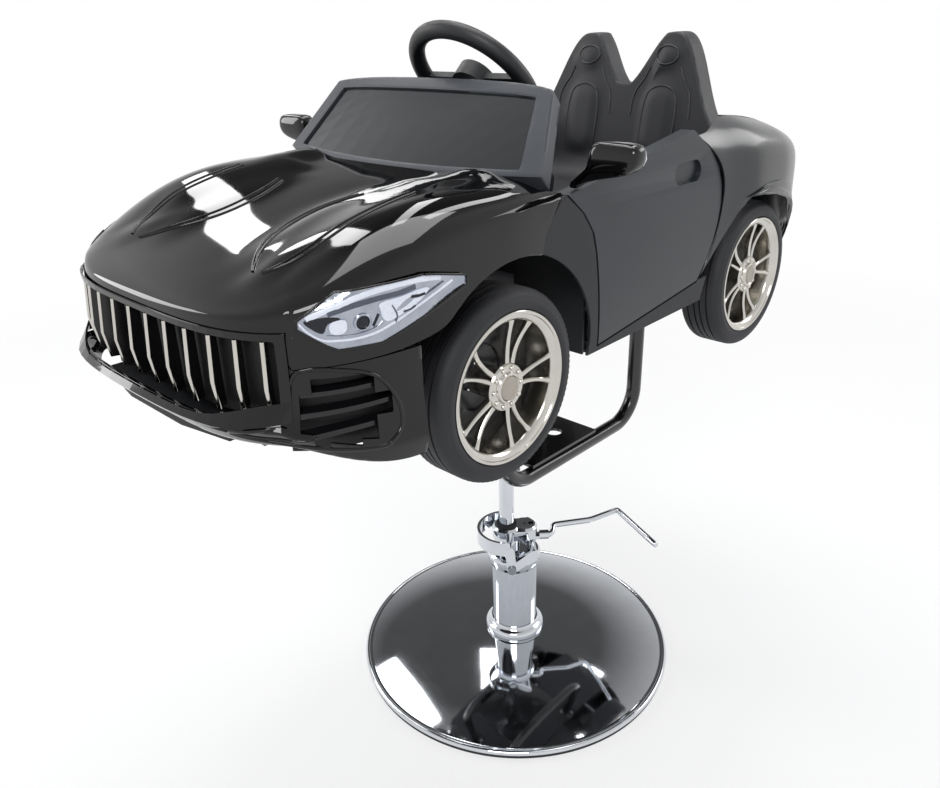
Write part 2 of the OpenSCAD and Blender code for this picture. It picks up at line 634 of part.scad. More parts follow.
// Side skin of the doors and sills: an arc in section, drawn along the car
slab_front_y = clip_edge_y - 60;
slab_rear_y = seam_rear_y + 15;
module side_slab(thick) {
    translate([0, slab_rear_y, 0]) rotate([90, 0, 0]) linear_extrude(slab_rear_y - slab_front_y) difference() {
        intersection() {
            translate([waist_w - arc_r, arc_mid_z]) circle(arc_r, $fn = 200);
            translate([waist_w - door_t - 2 * thick, sill_z - over]) square([door_t + 3 * thick, screen_top_z - sill_z]);
        }
        translate([waist_w - arc_r - thick, arc_mid_z]) circle(arc_r, $fn = 200);
    }
}

// Door hinges: lugs on the tub's posts, in pockets of the doors, on a leaning axis
hinge_r = 3;
hinge_inset = 9;
hinge_from_edge = 13;
hinge_pin_len = 26;
lug_t = 8;
lug_r = 6;
post_x = 206;
post_t = 18;
post_half_y = 9;
hinge_levels = [door_foot_z + 42, door_kink_z - 16];
hinge_x = waist_w - side_drop(hinge_levels[0]) - hinge_inset;
hinge_lean = atan(door_lean);
function hinge_y(z) = door_foot_y + hinge_from_edge - door_lean * (z - door_foot_z);
module at_hinges() {
    for (z = hinge_levels) translate([hinge_x, hinge_y(z), z]) rotate([hinge_lean, 0, 0]) children();
}
handle_y = [76, 150];
handle_z = [925, 956];
handle_depth = 5;

module door() {
    r = (handle_z[1] - handle_z[0]) / 2;
    face_x = waist_w - side_drop(handle_z[1]) - handle_depth;
    color("#2b2f35") difference() {
        intersection() {
            side_slab(door_t);
            across(waist_w - 3 * door_t, waist_w + door_t) polygon(door_outline(0));
        }
        across(face_x, waist_w + door_t) {
            for (y = [handle_y[0] + r, handle_y[1] - r]) translate([y, handle_z[0] + r]) circle(r);
            translate([handle_y[0] + r, handle_z[0]]) square([handle_y[1] - handle_y[0] - 2 * r, 2 * r]);
        }
        at_hinges() {
            block([-door_t, -hinge_from_edge - 2 * over, -lug_t / 2 - part_gap],
                [lug_r + part_gap, lug_r + part_gap, lug_t / 2 + part_gap]);
            translate([0, 0, -hinge_pin_len / 2 - part_gap]) cylinder(r = hinge_r + run_gap, h = hinge_pin_len + 2 * part_gap);
        }
    }
}
module door_left() { door(); }
module door_right() { mirror([1, 0, 0]) door(); }
module door_hinge_pins() {
    color("silver") both_sides() at_hinges() translate([0, 0, -hinge_pin_len / 2]) cylinder(r = hinge_r, h = hinge_pin_len);
}

// Steering: the column runs straight down to a pinion on the rack of the tie rod
wheel_centre = [0, -63, 1070];
column_dir = [0, -cos(column_tilt), -sin(column_tilt)];
column_r = 9;
steer_ratio = 0.25;
rack_z = 815;
rack_bar_r = 5;
// Length of the arms for which the pinion's axis meets the column's line
arm_len = let (s = sin(column_tilt), c = cos(column_tilt),
        run = (wheel_centre[2] - rack_z) / s * c, k = steer_ratio * (c * c / s + s))
    (front_axle_y - wheel_centre[1] + run) / (1 - k);
pinion_r = arm_len * steer_ratio;
rack_y = front_axle_y - arm_len;
pinion_t = (wheel_centre[2] - rack_z + pinion_r * cos(column_tilt)) / sin(column_tilt);
pinion_at = wheel_centre + pinion_t * column_dir;
module along_column(t) { translate(wheel_centre + t * column_dir) rotate([column_tilt - 90, 0, 0]) rotate([0, 180, 0]) children(); }

// Tub: floor pan, leg well, spine, sills and the side panels ahead of the doors
spine_half_w = 128;
spine_front_y = -560;
spine_rear_y = 560;
spine_bottom_z = 716;
spine_top_z = 800;
well_half_w = 214;
well_front_y = -112;
well_rear_y = 190;
seat_wall_y = 72;
seat_rest_z = 855;
bulkhead_y = 222;
// Ears of the rear wall, which carry the rear end
ear_low_x = 205;
ear_high_x = 190;
ear_root_z = 815;
ear_low_z = 836;
ear_top_z = 878;
function clip_inside_x(z) = half_w(bulkhead_y) - skin_t - side_drop(z) + side_drop(rear_shoulder_z) - part_gap;
firewall_y = -258;
firewall_top_z = 971;
fender_y = -125;
fender_top_z = 870;
fender_step_x = 230;
fender_step_z = 832;
panel_t = 4;
axle_bar_r = 9;
tongue_half_w = 60;
chin_half_w = 138;
chin_back = 14;
chin_z = [744, 760];
guide_t = 14;
guide_x = spine_half_w - guide_t / 2;
guide_half = 9;
module side_panel_outline() {
    difference() {
        polygon([[clip_seam_y - 17, axle_z + arch_r * 0.8], [clip_seam_y - 4, 893], [clip_seam_y + door_gap, shoulder_arch_z],
            [clip_seam_y + 38, 946], [clip_edge_y + door_gap, door_top_front_z], [seam_front(door_top_front_z) + 20, door_top_front_z + 3],
            [seam_rear(door_low_end_z) + 2 * door_gap, door_low_end_z], [rear_axle_y - arch_r * 0.97, door_low_end_z],
            [rear_axle_y - arch_r + 4, sill_z + 4], [well_front_y - 4, sill_z],
            [front_axle_y + arch_r, axle_z]]);
        polygon(door_outline(door_gap));
        for (y = [front_axle_y, rear_axle_y]) translate([y, axle_z]) circle(arch_r + 1, $fn = 120);
    }
}
module tub_side() {
    intersection() {
        side_slab(panel_t);
        across(waist_w - 3 * door_t, waist_w + door_t) side_panel_outline();
    }
    // Sill floor, post and the fender wall behind the front wheel
    block([well_half_w - over, well_front_y, sill_z + 2], [waist_w - side_drop(sill_z) - panel_t + 2, well_rear_y - 4, sill_z + 2 + tub_wall]);
    across(post_x, post_x + post_t) polygon([for (k = [[-1, sill_z + 4], [1, sill_z + 4], [1, hinge_levels[1] + lug_t],
        [-1, hinge_levels[1] + lug_t]]) [hinge_y(k[1]) + k[0] * post_half_y, k[1]]]);
    at_hinges() translate([0, 0, -lug_t / 2]) linear_extrude(lug_t) {
        circle(lug_r);
        translate([post_x + post_t / 2 - hinge_x, -lug_r]) square([hinge_x - post_x - post_t / 2, 2 * lug_r]);
    }
    for (p = [[fender_step_x, fender_top_z], [waist_w - side_drop(sill_z) - panel_t + over, fender_step_z]])
        block([spine_half_w - over, fender_y, sill_z + tub_wall], [p[0], fender_y + tub_wall, p[1]]);
}
module chassis_tub() {
    hole_r = axle_bar_r + run_gap;
    tongue_y = nose_y - lip_off(0, 0) + skin_t + 2 * part_gap;
    color("#1a1c20") difference() {
        union() {
            block([-well_half_w, fender_y, sill_z + 2], [well_half_w, well_rear_y, spine_top_z]);
            block([-spine_half_w, spine_front_y, spine_bottom_z], [spine_half_w, spine_rear_y, spine_top_z]);
            translate([0, 0, chin_z[0]]) linear_extrude(chin_z[1] - chin_z[0]) polygon([
                [-chin_half_w, spine_front_y + over], [-chin_half_w, tongue_y + chin_back], [-tongue_half_w, tongue_y],
                [tongue_half_w, tongue_y], [chin_half_w, tongue_y + chin_back], [chin_half_w, spine_front_y + over]]);
            block([-spine_half_w, firewall_y - tub_wall, tub_floor_z], [spine_half_w, firewall_y, firewall_top_z]);
            for (s = [-1, 1]) block([s * guide_x - guide_t / 2, rack_y - guide_half, spine_top_z - over],
                [s * guide_x + guide_t / 2, rack_y + guide_half, rack_z + guide_half]);
            both_sides() tub_side();
        }
        // Leg well, seat box, and the hollows of the spine
        for (y = [[fender_y + tub_wall, seat_wall_y], [seat_wall_y + tub_wall, well_rear_y - tub_wall]])
            block([-well_half_w + tub_wall, y[0], tub_floor_z], [well_half_w - tub_wall, y[1], firewall_top_z]);
        for (y = [[spine_front_y + tub_wall, firewall_y - tub_wall], [firewall_y, fender_y - tub_wall], [well_rear_y + tub_wall, spine_rear_y - tub_wall]])
            block([-spine_half_w + tub_wall, y[0], tub_floor_z], [spine_half_w - tub_wall, y[1], spine_top_z + over]);
        for (y = [front_axle_y, rear_axle_y]) translate([-spine_half_w - over, y, axle_z]) rotate([0, 90, 0])
            cylinder(r = hole_r, h = 2 * (spine_half_w + over));
        at_flanges() {
            block([-flange_size / 2 - over, -flange_size / 2 - over, sill_z - 2 * panel_t], [flange_size / 2 + over, flange_size / 2 + over, cradle_top_z]);
            bolt_places() translate([0, 0, cradle_top_z - over]) cylinder(r = bolt_r + run_gap, h = 2 * tub_wall);
        }
        translate([-guide_x - guide_t, rack_y, rack_z]) rotate([0, 90, 0]) cylinder(r = rack_bar_r + run_gap, h = 2 * (guide_x + guide_t));
        both_sides() at_hinges() translate([0, 0, -lug_t]) cylinder(r = hinge_r + run_gap, h = 2 * lug_t);
        along_column(0) translate([0, 0, (firewall_y - tub_wall - wheel_centre[1]) / column_dir[1] - 30])
            cylinder(r = column_r + run_gap, h = 50);
    }
    // Walls that carry the seat and the rear end
    color("#1a1c20") {
        block([-well_half_w + tub_wall, seat_wall_y, spine_top_z], [well_half_w - tub_wall, seat_wall_y + tub_wall, seat_rest_z]);
        block([-spine_half_w, bulkhead_y, tub_floor_z], [spine_half_w, bulkhead_y + tub_wall, seat_rest_z]);
        both_sides() translate([0, bulkhead_y + tub_wall, 0]) rotate([90, 0, 0]) linear_extrude(tub_wall)
            polygon(concat([for (p = [[ear_low_x, ear_low_z], [spine_half_w - over, ear_root_z], [spine_half_w - over, seat_rest_z],
                [ear_high_x, seat_rest_z], [ear_high_x, ear_top_z]]) p],
                [for (z = [ear_top_z, seat_rest_z, ear_low_z]) [clip_inside_x(z), z]]));
    }
}

wheel_hub_r = 30;
wheel_hub_h = 24;
button_r = 22;
button_h = 8;
button_travel = 3;
spoke_w = 24;
spoke_t = 10;
module steering_wheel() {
    color("#15161a") along_column(0) difference() {
        union() {
            rotate_extrude($fn = 96) translate([wheel_rim_r, 0]) circle(grip_r, $fn = 32);
            translate([0, 0, -wheel_hub_h / 2]) cylinder(r = wheel_hub_r, h = wheel_hub_h);
            for (a = [0, 180, 90]) rotate([0, 0, a]) block([button_r, -spoke_w / 2, -spoke_t / 2], [wheel_rim_r, spoke_w / 2, spoke_t / 2]);
        }
        translate([0, 0, -wheel_hub_h / 2 - over]) cylinder(r = button_r + part_gap, h = button_h + over);
        translate([0, 0, 0]) cylinder(r = column_r + run_gap, h = wheel_hub_h);
    }
}
module horn_button() {
    // Stands proud of the hub by its travel and a little more
    color("#26282d") along_column(0) translate([0, 0, -wheel_hub_h / 2 - 1.5 * button_travel]) cylinder(r = button_r, h = button_h);
}
pinion_teeth = 16;
pressure = 20;
module_len = 2 * pinion_r / pinion_teeth;
backlash = 0.5;
function inv(a) = tan(a) * 180 / PI - a;
// Half of the angle that a tooth of the pinion takes at the radius r
function tooth_half(r) = let (base = pinion_r * cos(pressure), a = acos(min(1, base / r)))
    90 / pinion_teeth - backlash / pinion_r * 45 / PI + inv(pressure) - inv(a);
module pinion_gear(t) {
    low = pinion_r * cos(pressure);
    high = pinion_r + module_len * 0.9;
    root = pinion_r - module_len * 1.25;
    linear_extrude(t) union() {
        circle(root);
        for (k = [0:pinion_teeth - 1]) rotate(360 * k / pinion_teeth + 90) polygon(concat(
            [[0, -root * sin(tooth_half(low))]],
            [for (i = [0:4]) let (r = mix(low, high, i / 4), a = -tooth_half(r)) r * [cos(a), sin(a)]],
            [for (i = [4:-1:0]) let (r = mix(low, high, i / 4), a = tooth_half(r)) r * [cos(a), sin(a)]],
            [[0, root * sin(tooth_half(low))]]));
    }
}
rack_pitch = PI * module_len;
rack_teeth = 10;
rack_end = 2;
rack_half = rack_pitch * rack_teeth / 2 + rack_end;
gear_t = 10;
module rack_teeth_shape() {
    top = module_len * 0.9;
    half = rack_pitch / 4 - backlash / 4;
    for (k = [-rack_teeth / 2:rack_teeth / 2 - 1]) translate([(k + 0.5) * rack_pitch, 0])
        polygon([[-half - module_len * 1.25 * tan(pressure), module_len * 1.25], [-half + top * tan(pressure), -top],
            [half - top * tan(pressure), -top], [half + module_len * 1.25 * tan(pressure), module_len * 1.25]]);
    translate([-rack_half, module_len * 1.2]) square([2 * rack_half, module_len * 1.5]);
}
module steering_column() {
    color("#8d9096") along_column(part_gap) {
        cylinder(r = column_r, h = pinion_t - gear_t / 2);
        translate([0, 0, pinion_t - part_gap - gear_t / 2]) pinion_gear(gear_t);
    }
}
arm_pin_r = 3;
arm_drop = 2.8;
eye_r = 8;
king_x = 168;
stub_r = 8;
knuckle_r = 11;
eye_half_h = 14;
fork_t = 6;
arm_t = 6;
module tie_rod() {
    color("#8d9096") difference() {
        union() {
            difference() {
                translate([-king_x + eye_r, rack_y, rack_z]) rotate([0, 90, 0]) cylinder(r = rack_bar_r, h = 2 * (king_x - eye_r));
                along_column(pinion_t) translate([-rack_half + over, -pinion_r - module_len * 1.25, -2 * rack_bar_r])
                    cube([2 * (rack_half - over), 4 * rack_bar_r, 4 * rack_bar_r]);
            }
            for (s = [-1, 1]) translate([s * king_x, rack_y, rack_z - rack_bar_r]) linear_extrude(2 * rack_bar_r)
                link([0, 0], [0, arm_drop + part_gap], eye_r);
            along_column(pinion_t) translate([0, -pinion_r, -gear_t / 2]) rotate([0, 0, 180])
                linear_extrude(gear_t) rack_teeth_shape();
        }
        for (s = [-1, 1]) translate([s * king_x, rack_y, rack_z - 2 * rack_bar_r]) linear_extrude(4 * rack_bar_r)
            link([0, 0], [0, arm_drop + part_gap], arm_pin_r + part_gap + link_waist);
    }
}
// Wheels: the axle runs along X through the origin, the outside is +X
wheel_x = track_half - tyre_w / 2;
tyre_half = tyre_w / 2;
seat_r = rim_r - 8;
flange_w = 3.6;
hub_r = 19;
hub_in_x = -25;
stub_end_x = wheel_x + tyre_half - 8;
module wheel_place(side, y) { translate([side * wheel_x, y, axle_z]) rotate([0, 0, side > 0 ? 0 : 180]) children(); }
module tyre(side, y) {
    groove = 3;
    half = [[tyre_half - flange_w - part_gap, seat_r + part_gap], [tyre_half - flange_w - part_gap, rim_r + part_gap],
        [tyre_half - 1, rim_r + 2], [tyre_half, rim_r + 9], [tyre_half - 2, tyre_r - 8], [tyre_half - 6, tyre_r - 2.5]];
    tread = [for (x = [tyre_half * 0.62, tyre_half * 0.1, -tyre_half * 0.42]) each
        [[x, tyre_r - 0.5], [x, tyre_r - groove], [x - groove, tyre_r - groove], [x - groove, tyre_r - 0.5]]];
    outline = concat(half, [[tyre_half - 12, tyre_r]], tread, [[-tyre_half + 12, tyre_r]],
        [for (k = [len(half) - 1:-1:0]) [-half[k][0], half[k][1]]]);
    color("#1b1b1d") wheel_place(side, y) rotate([0, 90, 0]) rotate_extrude($fn = 96) polygon([for (p = outline) [p[1], p[0]]]);
}
module rim(side, y) {
    in_r = seat_r - 6;
    face = tyre_half - 6;
    spoke_th = 8;
    split = 9.5;
    color("#d5d8dd") wheel_place(side, y) rotate([0, 90, 0]) difference() {
        union() {
            rotate_extrude($fn = 96) polygon([[in_r, -tyre_half], [rim_r, -tyre_half], [rim_r, -tyre_half + flange_w],
                [seat_r, -tyre_half + flange_w], [seat_r, tyre_half - flange_w], [rim_r, tyre_half - flange_w],
                [rim_r, tyre_half], [rim_r - 4, tyre_half], [in_r, face]]);
            translate([0, 0, hub_in_x]) cylinder(r = hub_r, h = tyre_half - 3 - hub_in_x);
            translate([0, 0, face - spoke_th - 0.6]) linear_extrude(spoke_th)
                for (k = [0:spoke_pairs - 1], s = [-1, 1]) rotate(360 * k / spoke_pairs + s * split)
                    polygon([[hub_r - 4, -s * 4.5 - 3], [hub_r - 4, -s * 4.5 + 3], [in_r + 2, 2.6], [in_r + 2, -2.6]]);
        }
        translate([0, 0, hub_in_x - over]) cylinder(r = stub_r + run_gap, h = tyre_w);
    }
}
module hub_cap(side, y) {
    color("#b7b0a4") wheel_place(side, y) rotate([0, 90, 0]) translate([0, 0, tyre_half - 3 + part_gap / 2])
        rotate_extrude() polygon([[0, 0], [hub_r - 2, 0], [hub_r - 2, 1.5], [hub_r - 5, 2.6], [0, 2.8]]);
}
module tyre_front_left() { tyre(1, front_axle_y); }
module tyre_front_right() { tyre(-1, front_axle_y); }
module tyre_rear_left() { tyre(1, rear_axle_y); }
module tyre_rear_right() { tyre(-1, rear_axle_y); }
module rim_front_left() { rim(1, front_axle_y); }
module rim_front_right() { rim(-1, front_axle_y); }
module rim_rear_left() { rim(1, rear_axle_y); }
module rim_rear_right() { rim(-1, rear_axle_y); }
module hub_cap_front_left() { hub_cap(1, front_axle_y); }
module hub_cap_front_right() { hub_cap(-1, front_axle_y); }
module hub_cap_rear_left() { hub_cap(1, rear_axle_y); }
module hub_cap_rear_right() { hub_cap(-1, rear_axle_y); }
module front_axle() {
    color("#6d7076") translate([0, front_axle_y, axle_z]) difference() {
        union() {
            translate([-king_x, 0, 0]) rotate([0, 90, 0]) cylinder(r = axle_bar_r, h = 2 * king_x);
            for (s = [-1, 1]) translate([s * king_x, 0, -eye_half_h]) cylinder(r = knuckle_r, h = 2 * eye_half_h);
        }
        for (s = [-1, 1]) translate([s * king_x, 0, -eye_half_h - over]) cylinder(r = fork_t - 2 + run_gap, h = 2 * (eye_half_h + over));
    }
}
hub_face_x = wheel_x + hub_in_x;
module rear_axle() {
    color("#6d7076") translate([0, rear_axle_y, axle_z]) {
        translate([-hub_face_x + part_gap, 0, 0]) rotate([0, 90, 0]) cylinder(r = axle_bar_r, h = 2 * (hub_face_x - part_gap));
        translate([-stub_end_x, 0, 0]) rotate([0, 90, 0]) cylinder(r = stub_r, h = 2 * stub_end_x);
    }
}
module knuckle() {
    plate = eye_half_h + part_gap;
    web_x = knuckle_r + 2;
    lift = rack_z - axle_z;
    color("#6d7076") translate([king_x, front_axle_y, axle_z]) {
        for (z = [-plate - fork_t, plate]) translate([0, 0, z]) {
            cylinder(r = knuckle_r, h = fork_t);
            block([0, 1 - knuckle_r, 0], [web_x + fork_t, knuckle_r - 1, fork_t]);
        }
        cylinder(r = fork_t - 2, h = plate + over);
        translate([0, 0, -plate - over]) cylinder(r = fork_t - 2, h = plate + 2 * over);
        block([web_x, 1 - knuckle_r, -plate - fork_t], [web_x + fork_t, knuckle_r - 1, plate + fork_t]);
        translate([web_x, 0, 0]) rotate([0, 90, 0]) cylinder(r = stub_r, h = stub_end_x - king_x - web_x);
        translate([web_x, 0, 0]) rotate([0, 90, 0]) cylinder(r = stub_r + 3, h = hub_face_x - king_x - web_x - part_gap);
        // Steering arm: up and forward to the pin in the tie rod's eye
        across(-arm_t / 2, arm_t / 2) polygon([[-knuckle_r + 2, plate + fork_t - over], [2, plate + fork_t - over],
            [-arm_len + eye_r, lift - rack_bar_r - part_gap], [-arm_len, lift - rack_bar_r - part_gap],
            [-arm_len, lift - rack_bar_r - 2 * arm_t]]);
        translate([0, -arm_len, lift - rack_bar_r - part_gap - arm_t]) cylinder(r = arm_t, h = arm_t);
        translate([0, -arm_len, lift - rack_bar_r - part_gap - over]) cylinder(r = arm_pin_r, h = 2 * rack_bar_r + part_gap);
    }
}
module knuckle_left() { knuckle(); }
module knuckle_right() { mirror([1, 0, 0]) knuckle(); }

// Front bumper, by places round the nose (w) and heights
bumper_end_share = 1.62;
grille_share = 0.9;
bumper_low_z = 756;
bumper_side_z = 710;
bumper_drop_share = [0.85, 0.75];
lip_out = 22;
bumper_mid_cols = 10;
bumper_side_cols = 8;
bumper_open_share = 0.92;
lip_share = 0.2;
intake_w_share = [1.03, 1.43];
intake_z = [752, 828];
function bumper_top(w) = lip_line(w) - part_gap;
function bumper_low(w) = mix(bumper_low_z, bumper_side_z, ease((abs(w) - bumper_drop_share[0]) / bumper_drop_share[1]));
// True inside the rounded outline of the corner intake
function in_intake(w, z) = let (m = intake_w_share, n = intake_z)
    pow(abs(2 * w - m[0] - m[1]) / (m[1] - m[0]), 3) + pow(abs(2 * z - n[0] - n[1]) / (n[1] - n[0]), 3) < 1;
bumper_rows_share = [0, 0.1, lip_share, 0.26, 0.36, 0.48, 0.58, 0.68, 0.78, 0.88, 1];
function lip_off(w, t) = lip_out * (t < lip_share ? 0.25 + 0.75 * t / lip_share : pow(max(0, 1 - (t - lip_share) / 0.5), 2))
    * (1 - 0.55 * ease((abs(w) - 0.8) / 0.5)) + 0.01;
function bumper_z(w, t) = mix(bumper_low(w), bumper_top(w), t);
function bumper_off(w, z) = lip_off(w, clamp01((z - bumper_low(w)) / (bumper_top(w) - bumper_low(w))));
function bumper_pt(w, t, off = 0) = nose_pt(w, bumper_z(w, t), lip_off(w, t) + off);
module front_bumper() {
    half = concat([for (i = [0:bumper_mid_cols - 1]) lip_from * i / bumper_mid_cols], [lip_from, (lip_from + lip_to) / 2, lip_to],
        [for (i = [0:bumper_side_cols]) mix(1, bumper_end_share, i / bumper_side_cols)]);
    ws = concat([for (i = [len(half) - 1:-1:1]) -half[i]], half);
    rows = bumper_rows_share;
    state = function (i, j) let (w = abs((ws[i] + ws[i + 1]) / 2), z = (bumper_z(w, rows[j]) + bumper_z(w, rows[j + 1])) / 2)
        (w < bumper_open_share && j >= 3) || in_intake(w, z) ? 0 : 1;
    color("#0b0b0d") skin([for (w = ws) [for (t = rows) bumper_pt(w, t)]], [for (w = ws) [for (t = rows) bumper_pt(w, t, -skin_t)]], state);
}
// Plates set edgeways behind the corner intakes
louvre_steps = 8;
louvre_depth = 12;
louvre_gap = 0.8;
louvre_h = 5;
louvre_z = [763, 784, 805];
louvre_w_share = [0.96, 1.5];
module intake_louvres() {
    color("#0e0e10") for (s = [-1, 1], z = louvre_z) loft([for (k = [0:louvre_steps])
        let (w = s * mix(louvre_w_share[0], louvre_w_share[1], (s < 0 ? k : louvre_steps - k) / louvre_steps))
        [for (q = [[-skin_t - louvre_gap, 0], [-skin_t - louvre_gap, louvre_h], [-skin_t - louvre_depth, louvre_h + 3], [-skin_t - louvre_depth, 3]])
            nose_pt(w, z + q[1], bumper_off(w, z + q[1]) + q[0])]]);
}
frame_share = 0.96;
frame_out = 3.5;
frame_low_z = [773, 784];
frame_low_rise = [12, 20];
frame_top_z = 877;
frame_steps = 20;
frame_lap = 3;
frame_back = 1.3;
module grille_frame() {
    ws = concat([-frame_share], [for (i = [0:frame_steps]) mix(-grille_share, grille_share, i / frame_steps)], [frame_share]);
    rows = [for (w = ws) let (e = ease((abs(w) - 0.4) / 0.5), a = frame_low_z[0] + frame_low_rise[0] * e,
        b = frame_low_z[1] + frame_low_rise[1] * e)
        [a, min(b, max(a + over, bumper_z(w, lip_share))), b + over, (b + clip_lip_z) / 2, clip_lip_z + frame_lap, frame_top_z]];
    last = len(ws) - 2;
    f = function (w, z, off, j) nose_pt(w, z, off + (j < 3 ? bumper_off(w, z) : 0));
    color("#17181b") skin([for (i = [0:len(ws) - 1]) [for (j = [0:5]) f(ws[i], rows[i][j], frame_out, j)]],
        [for (i = [0:len(ws) - 1]) [for (j = [0:5]) f(ws[i], rows[i][j], frame_back, j)]],
        function (i, j) i > 0 && i < last && j > 1 && j < 4 ? 0 : 1);
}
slat_count = 12;
slat_t = 4;
slat_kink_share = 0.39;
slat_kink_out = 5;
slat_depth = 12;
module grille_slats() {
    low = bumper_z(0, bumper_rows_share[3]) + part_gap;
    high = clip_lip_z - part_gap;
    kink = mix(low, high, slat_kink_share);
    color("#c8cace") for (k = [0:slat_count - 1]) let (w = mix(-grille_share, grille_share, (k + 0.5) / slat_count), p = nose_xy(w),
            n = unit([p[0] / front_half, (p[1] - front_round_y) / front_len]))
        translate([p[0], p[1], 0]) rotate([0, 0, atan2(n[1], n[0])]) rotate([90, 0, 0]) translate([0, 0, -slat_t / 2])
            linear_extrude(slat_t) polygon([[-slat_depth, low], [0, low], [slat_kink_out, kink], [0, high], [-slat_depth, high]]);
}
// Headlamp lens: a leaf along the front corner, stood off where the wing rolls in under its top
lamp_share = [1.02, 1.86];
lamp_high = [886, 911, 914, 914, 900];
lamp_low = [884, 856, 855, 873, 893];
lamp_steps = 16;
lamp_rows = 6;
lamp_end_share = 0.02;
lamp_off = 0.9;
lamp_t = 2.8;
lamp_lift = 2.8;
lamp_lift_share = [1.1, 0.3];
lamp_lift_z = [875, 900];
function along(list, s) = let (n = len(list) - 1, k = min(n - 1, floor(s * n))) mix(list[k], list[k + 1], s * n - k);
module headlamp() {
    f = function (i, j, off) let (s = mix(lamp_end_share, 1 - lamp_end_share, i / lamp_steps), t = j / lamp_rows,
        w = mix(lamp_share[0], lamp_share[1], s), z = mix(along(lamp_low, s) - 1, along(lamp_high, s) + 1, t),
        lift = lamp_lift * ease((w - lamp_lift_share[0]) / lamp_lift_share[1])
            * ease((z - lamp_lift_z[0]) / (lamp_lift_z[1] - lamp_lift_z[0])))
        nose_pt(w, z, off + lift + (side_drop(shoulder_arch_z) - side_drop(z)) * ease((w - 1.35) / 0.25));
    color("#dfe3e8") skin([for (i = [0:lamp_steps]) [for (j = [0:lamp_rows]) f(i, j, lamp_off + lamp_t)]],
        [for (i = [0:lamp_steps]) [for (j = [0:lamp_rows]) f(i, j, lamp_off)]], function (i, j) 1);
}
module headlamp_left() { headlamp(); }
module headlamp_right() { mirror([1, 0, 0]) headlamp(); }

// Windscreen: s runs across, t up
screen_low_w = 250;
screen_top_w = 209;
screen_low_z = cowl_z - 4;
frame_s_share = 0.88;
frame_low_share = 0.07;
frame_high_share = 0.87;
screen_front = 2;
screen_back = -22;
screen_edge = 0.6;
function screen_pt(s, t, off = 0) = let (
        u = t * (1 - 0.05 * pow(abs(s), 8)), v = [s * mix(screen_low_w, screen_top_w, t), 0, 0],
        low_y = cowl_y(s * screen_low_w / half_w(cowl_side_y)) + screen_edge + screen_front,
        n = unit([0, -(screen_top_z - screen_low_z), screen_top_y - cowl_mid_y]))
    v + [0, mix(low_y, screen_top_y - 4 * s * s, u), mix(screen_low_z + 5 * s * s, screen_top_z - 4 * s * s, u)] + off * n;
screen_cols = concat([-1, -0.96, -frame_s_share], [for (k = [1:9]) mix(-frame_s_share, frame_s_share, k / 10)], [frame_s_share, 0.96, 1]);
screen_rows = [0, frame_low_share, 0.3, 0.55, 0.75, frame_high_share, 0.94, 1];
module windscreen_frame() {
    last = len(screen_cols) - 1;
    color("#3b3f46") skin([for (s = screen_cols) [for (t = screen_rows) screen_pt(s, t, screen_front)]],
        [for (s = screen_cols) [for (t = screen_rows) screen_pt(s, t, screen_back)]],
        function (i, j) i > 1 && i < last - 2 && j > 0 && j < 5 ? 0 : 1);
}
pane_t = 3;
pane_inset = 4;
module windscreen_pane() {
    e = 0.0022;
    cols = [for (k = [0:10]) mix(-frame_s_share + e, frame_s_share - e, k / 10)];
    rows = [frame_low_share + 2 * e, 0.3, 0.55, 0.75, frame_high_share - 2 * e];
    color([0.13, 0.15, 0.18, 0.9]) skin([for (s = cols) [for (t = rows) screen_pt(s, t, screen_front - pane_inset)]],
        [for (s = cols) [for (t = rows) screen_pt(s, t, screen_front - pane_inset - pane_t)]], function (i, j) 1);
}
mirror_y = -158;
mirror_head_z = [985, 1022];
mirror_head_x = [282, 350];
mirror_r = 14;
module mirror_solid() {
    foot_y = [mirror_y - 4, mirror_y + 15];
    foot_z = door_top(foot_y[1]) + part_gap;
    mid_z = (mirror_head_z[0] + mirror_head_z[1]) / 2;
    color("#0b0b0d") union() {
        hull() for (x = [mirror_head_x[0] + mirror_r, mirror_head_x[1] - mirror_r], y = [mirror_y - 8, mirror_y + 8],
                z = [mirror_head_z[0] + mirror_r, mirror_head_z[1] - mirror_r]) translate([x, y, z]) sphere(mirror_r, $fn = 20);
        hull() {
            block([waist_w - door_t - 2, foot_y[0], foot_z], [waist_w - 9, foot_y[1], foot_z + 3]);
            block([mirror_head_x[0] + mirror_r, mirror_y - 7, mid_z - 10], [mirror_head_x[0] + 2 * mirror_r, mirror_y + 7, mid_z]);
        }
    }
}
module mirror_left() { mirror_solid(); }
module mirror_right() { mirror([1, 0, 0]) mirror_solid(); }
dash_half_w = 190;
dash_rear_y = -112;
module dashboard() {
    front = firewall_y + part_gap;
    color("#101114") difference() {
        union() {
            across(-dash_half_w, dash_half_w) {
                polygon([[front, 900], [front, 946], [-196, 956], [-150, 974], [-126, 972], [-115, 958], [-122, 922], [-160, 900]]);
            }
            along_column(108) cylinder(r = 30, h = 60);
        }
        along_column(60) cylinder(r = column_r + run_gap, h = 300);
    }
}

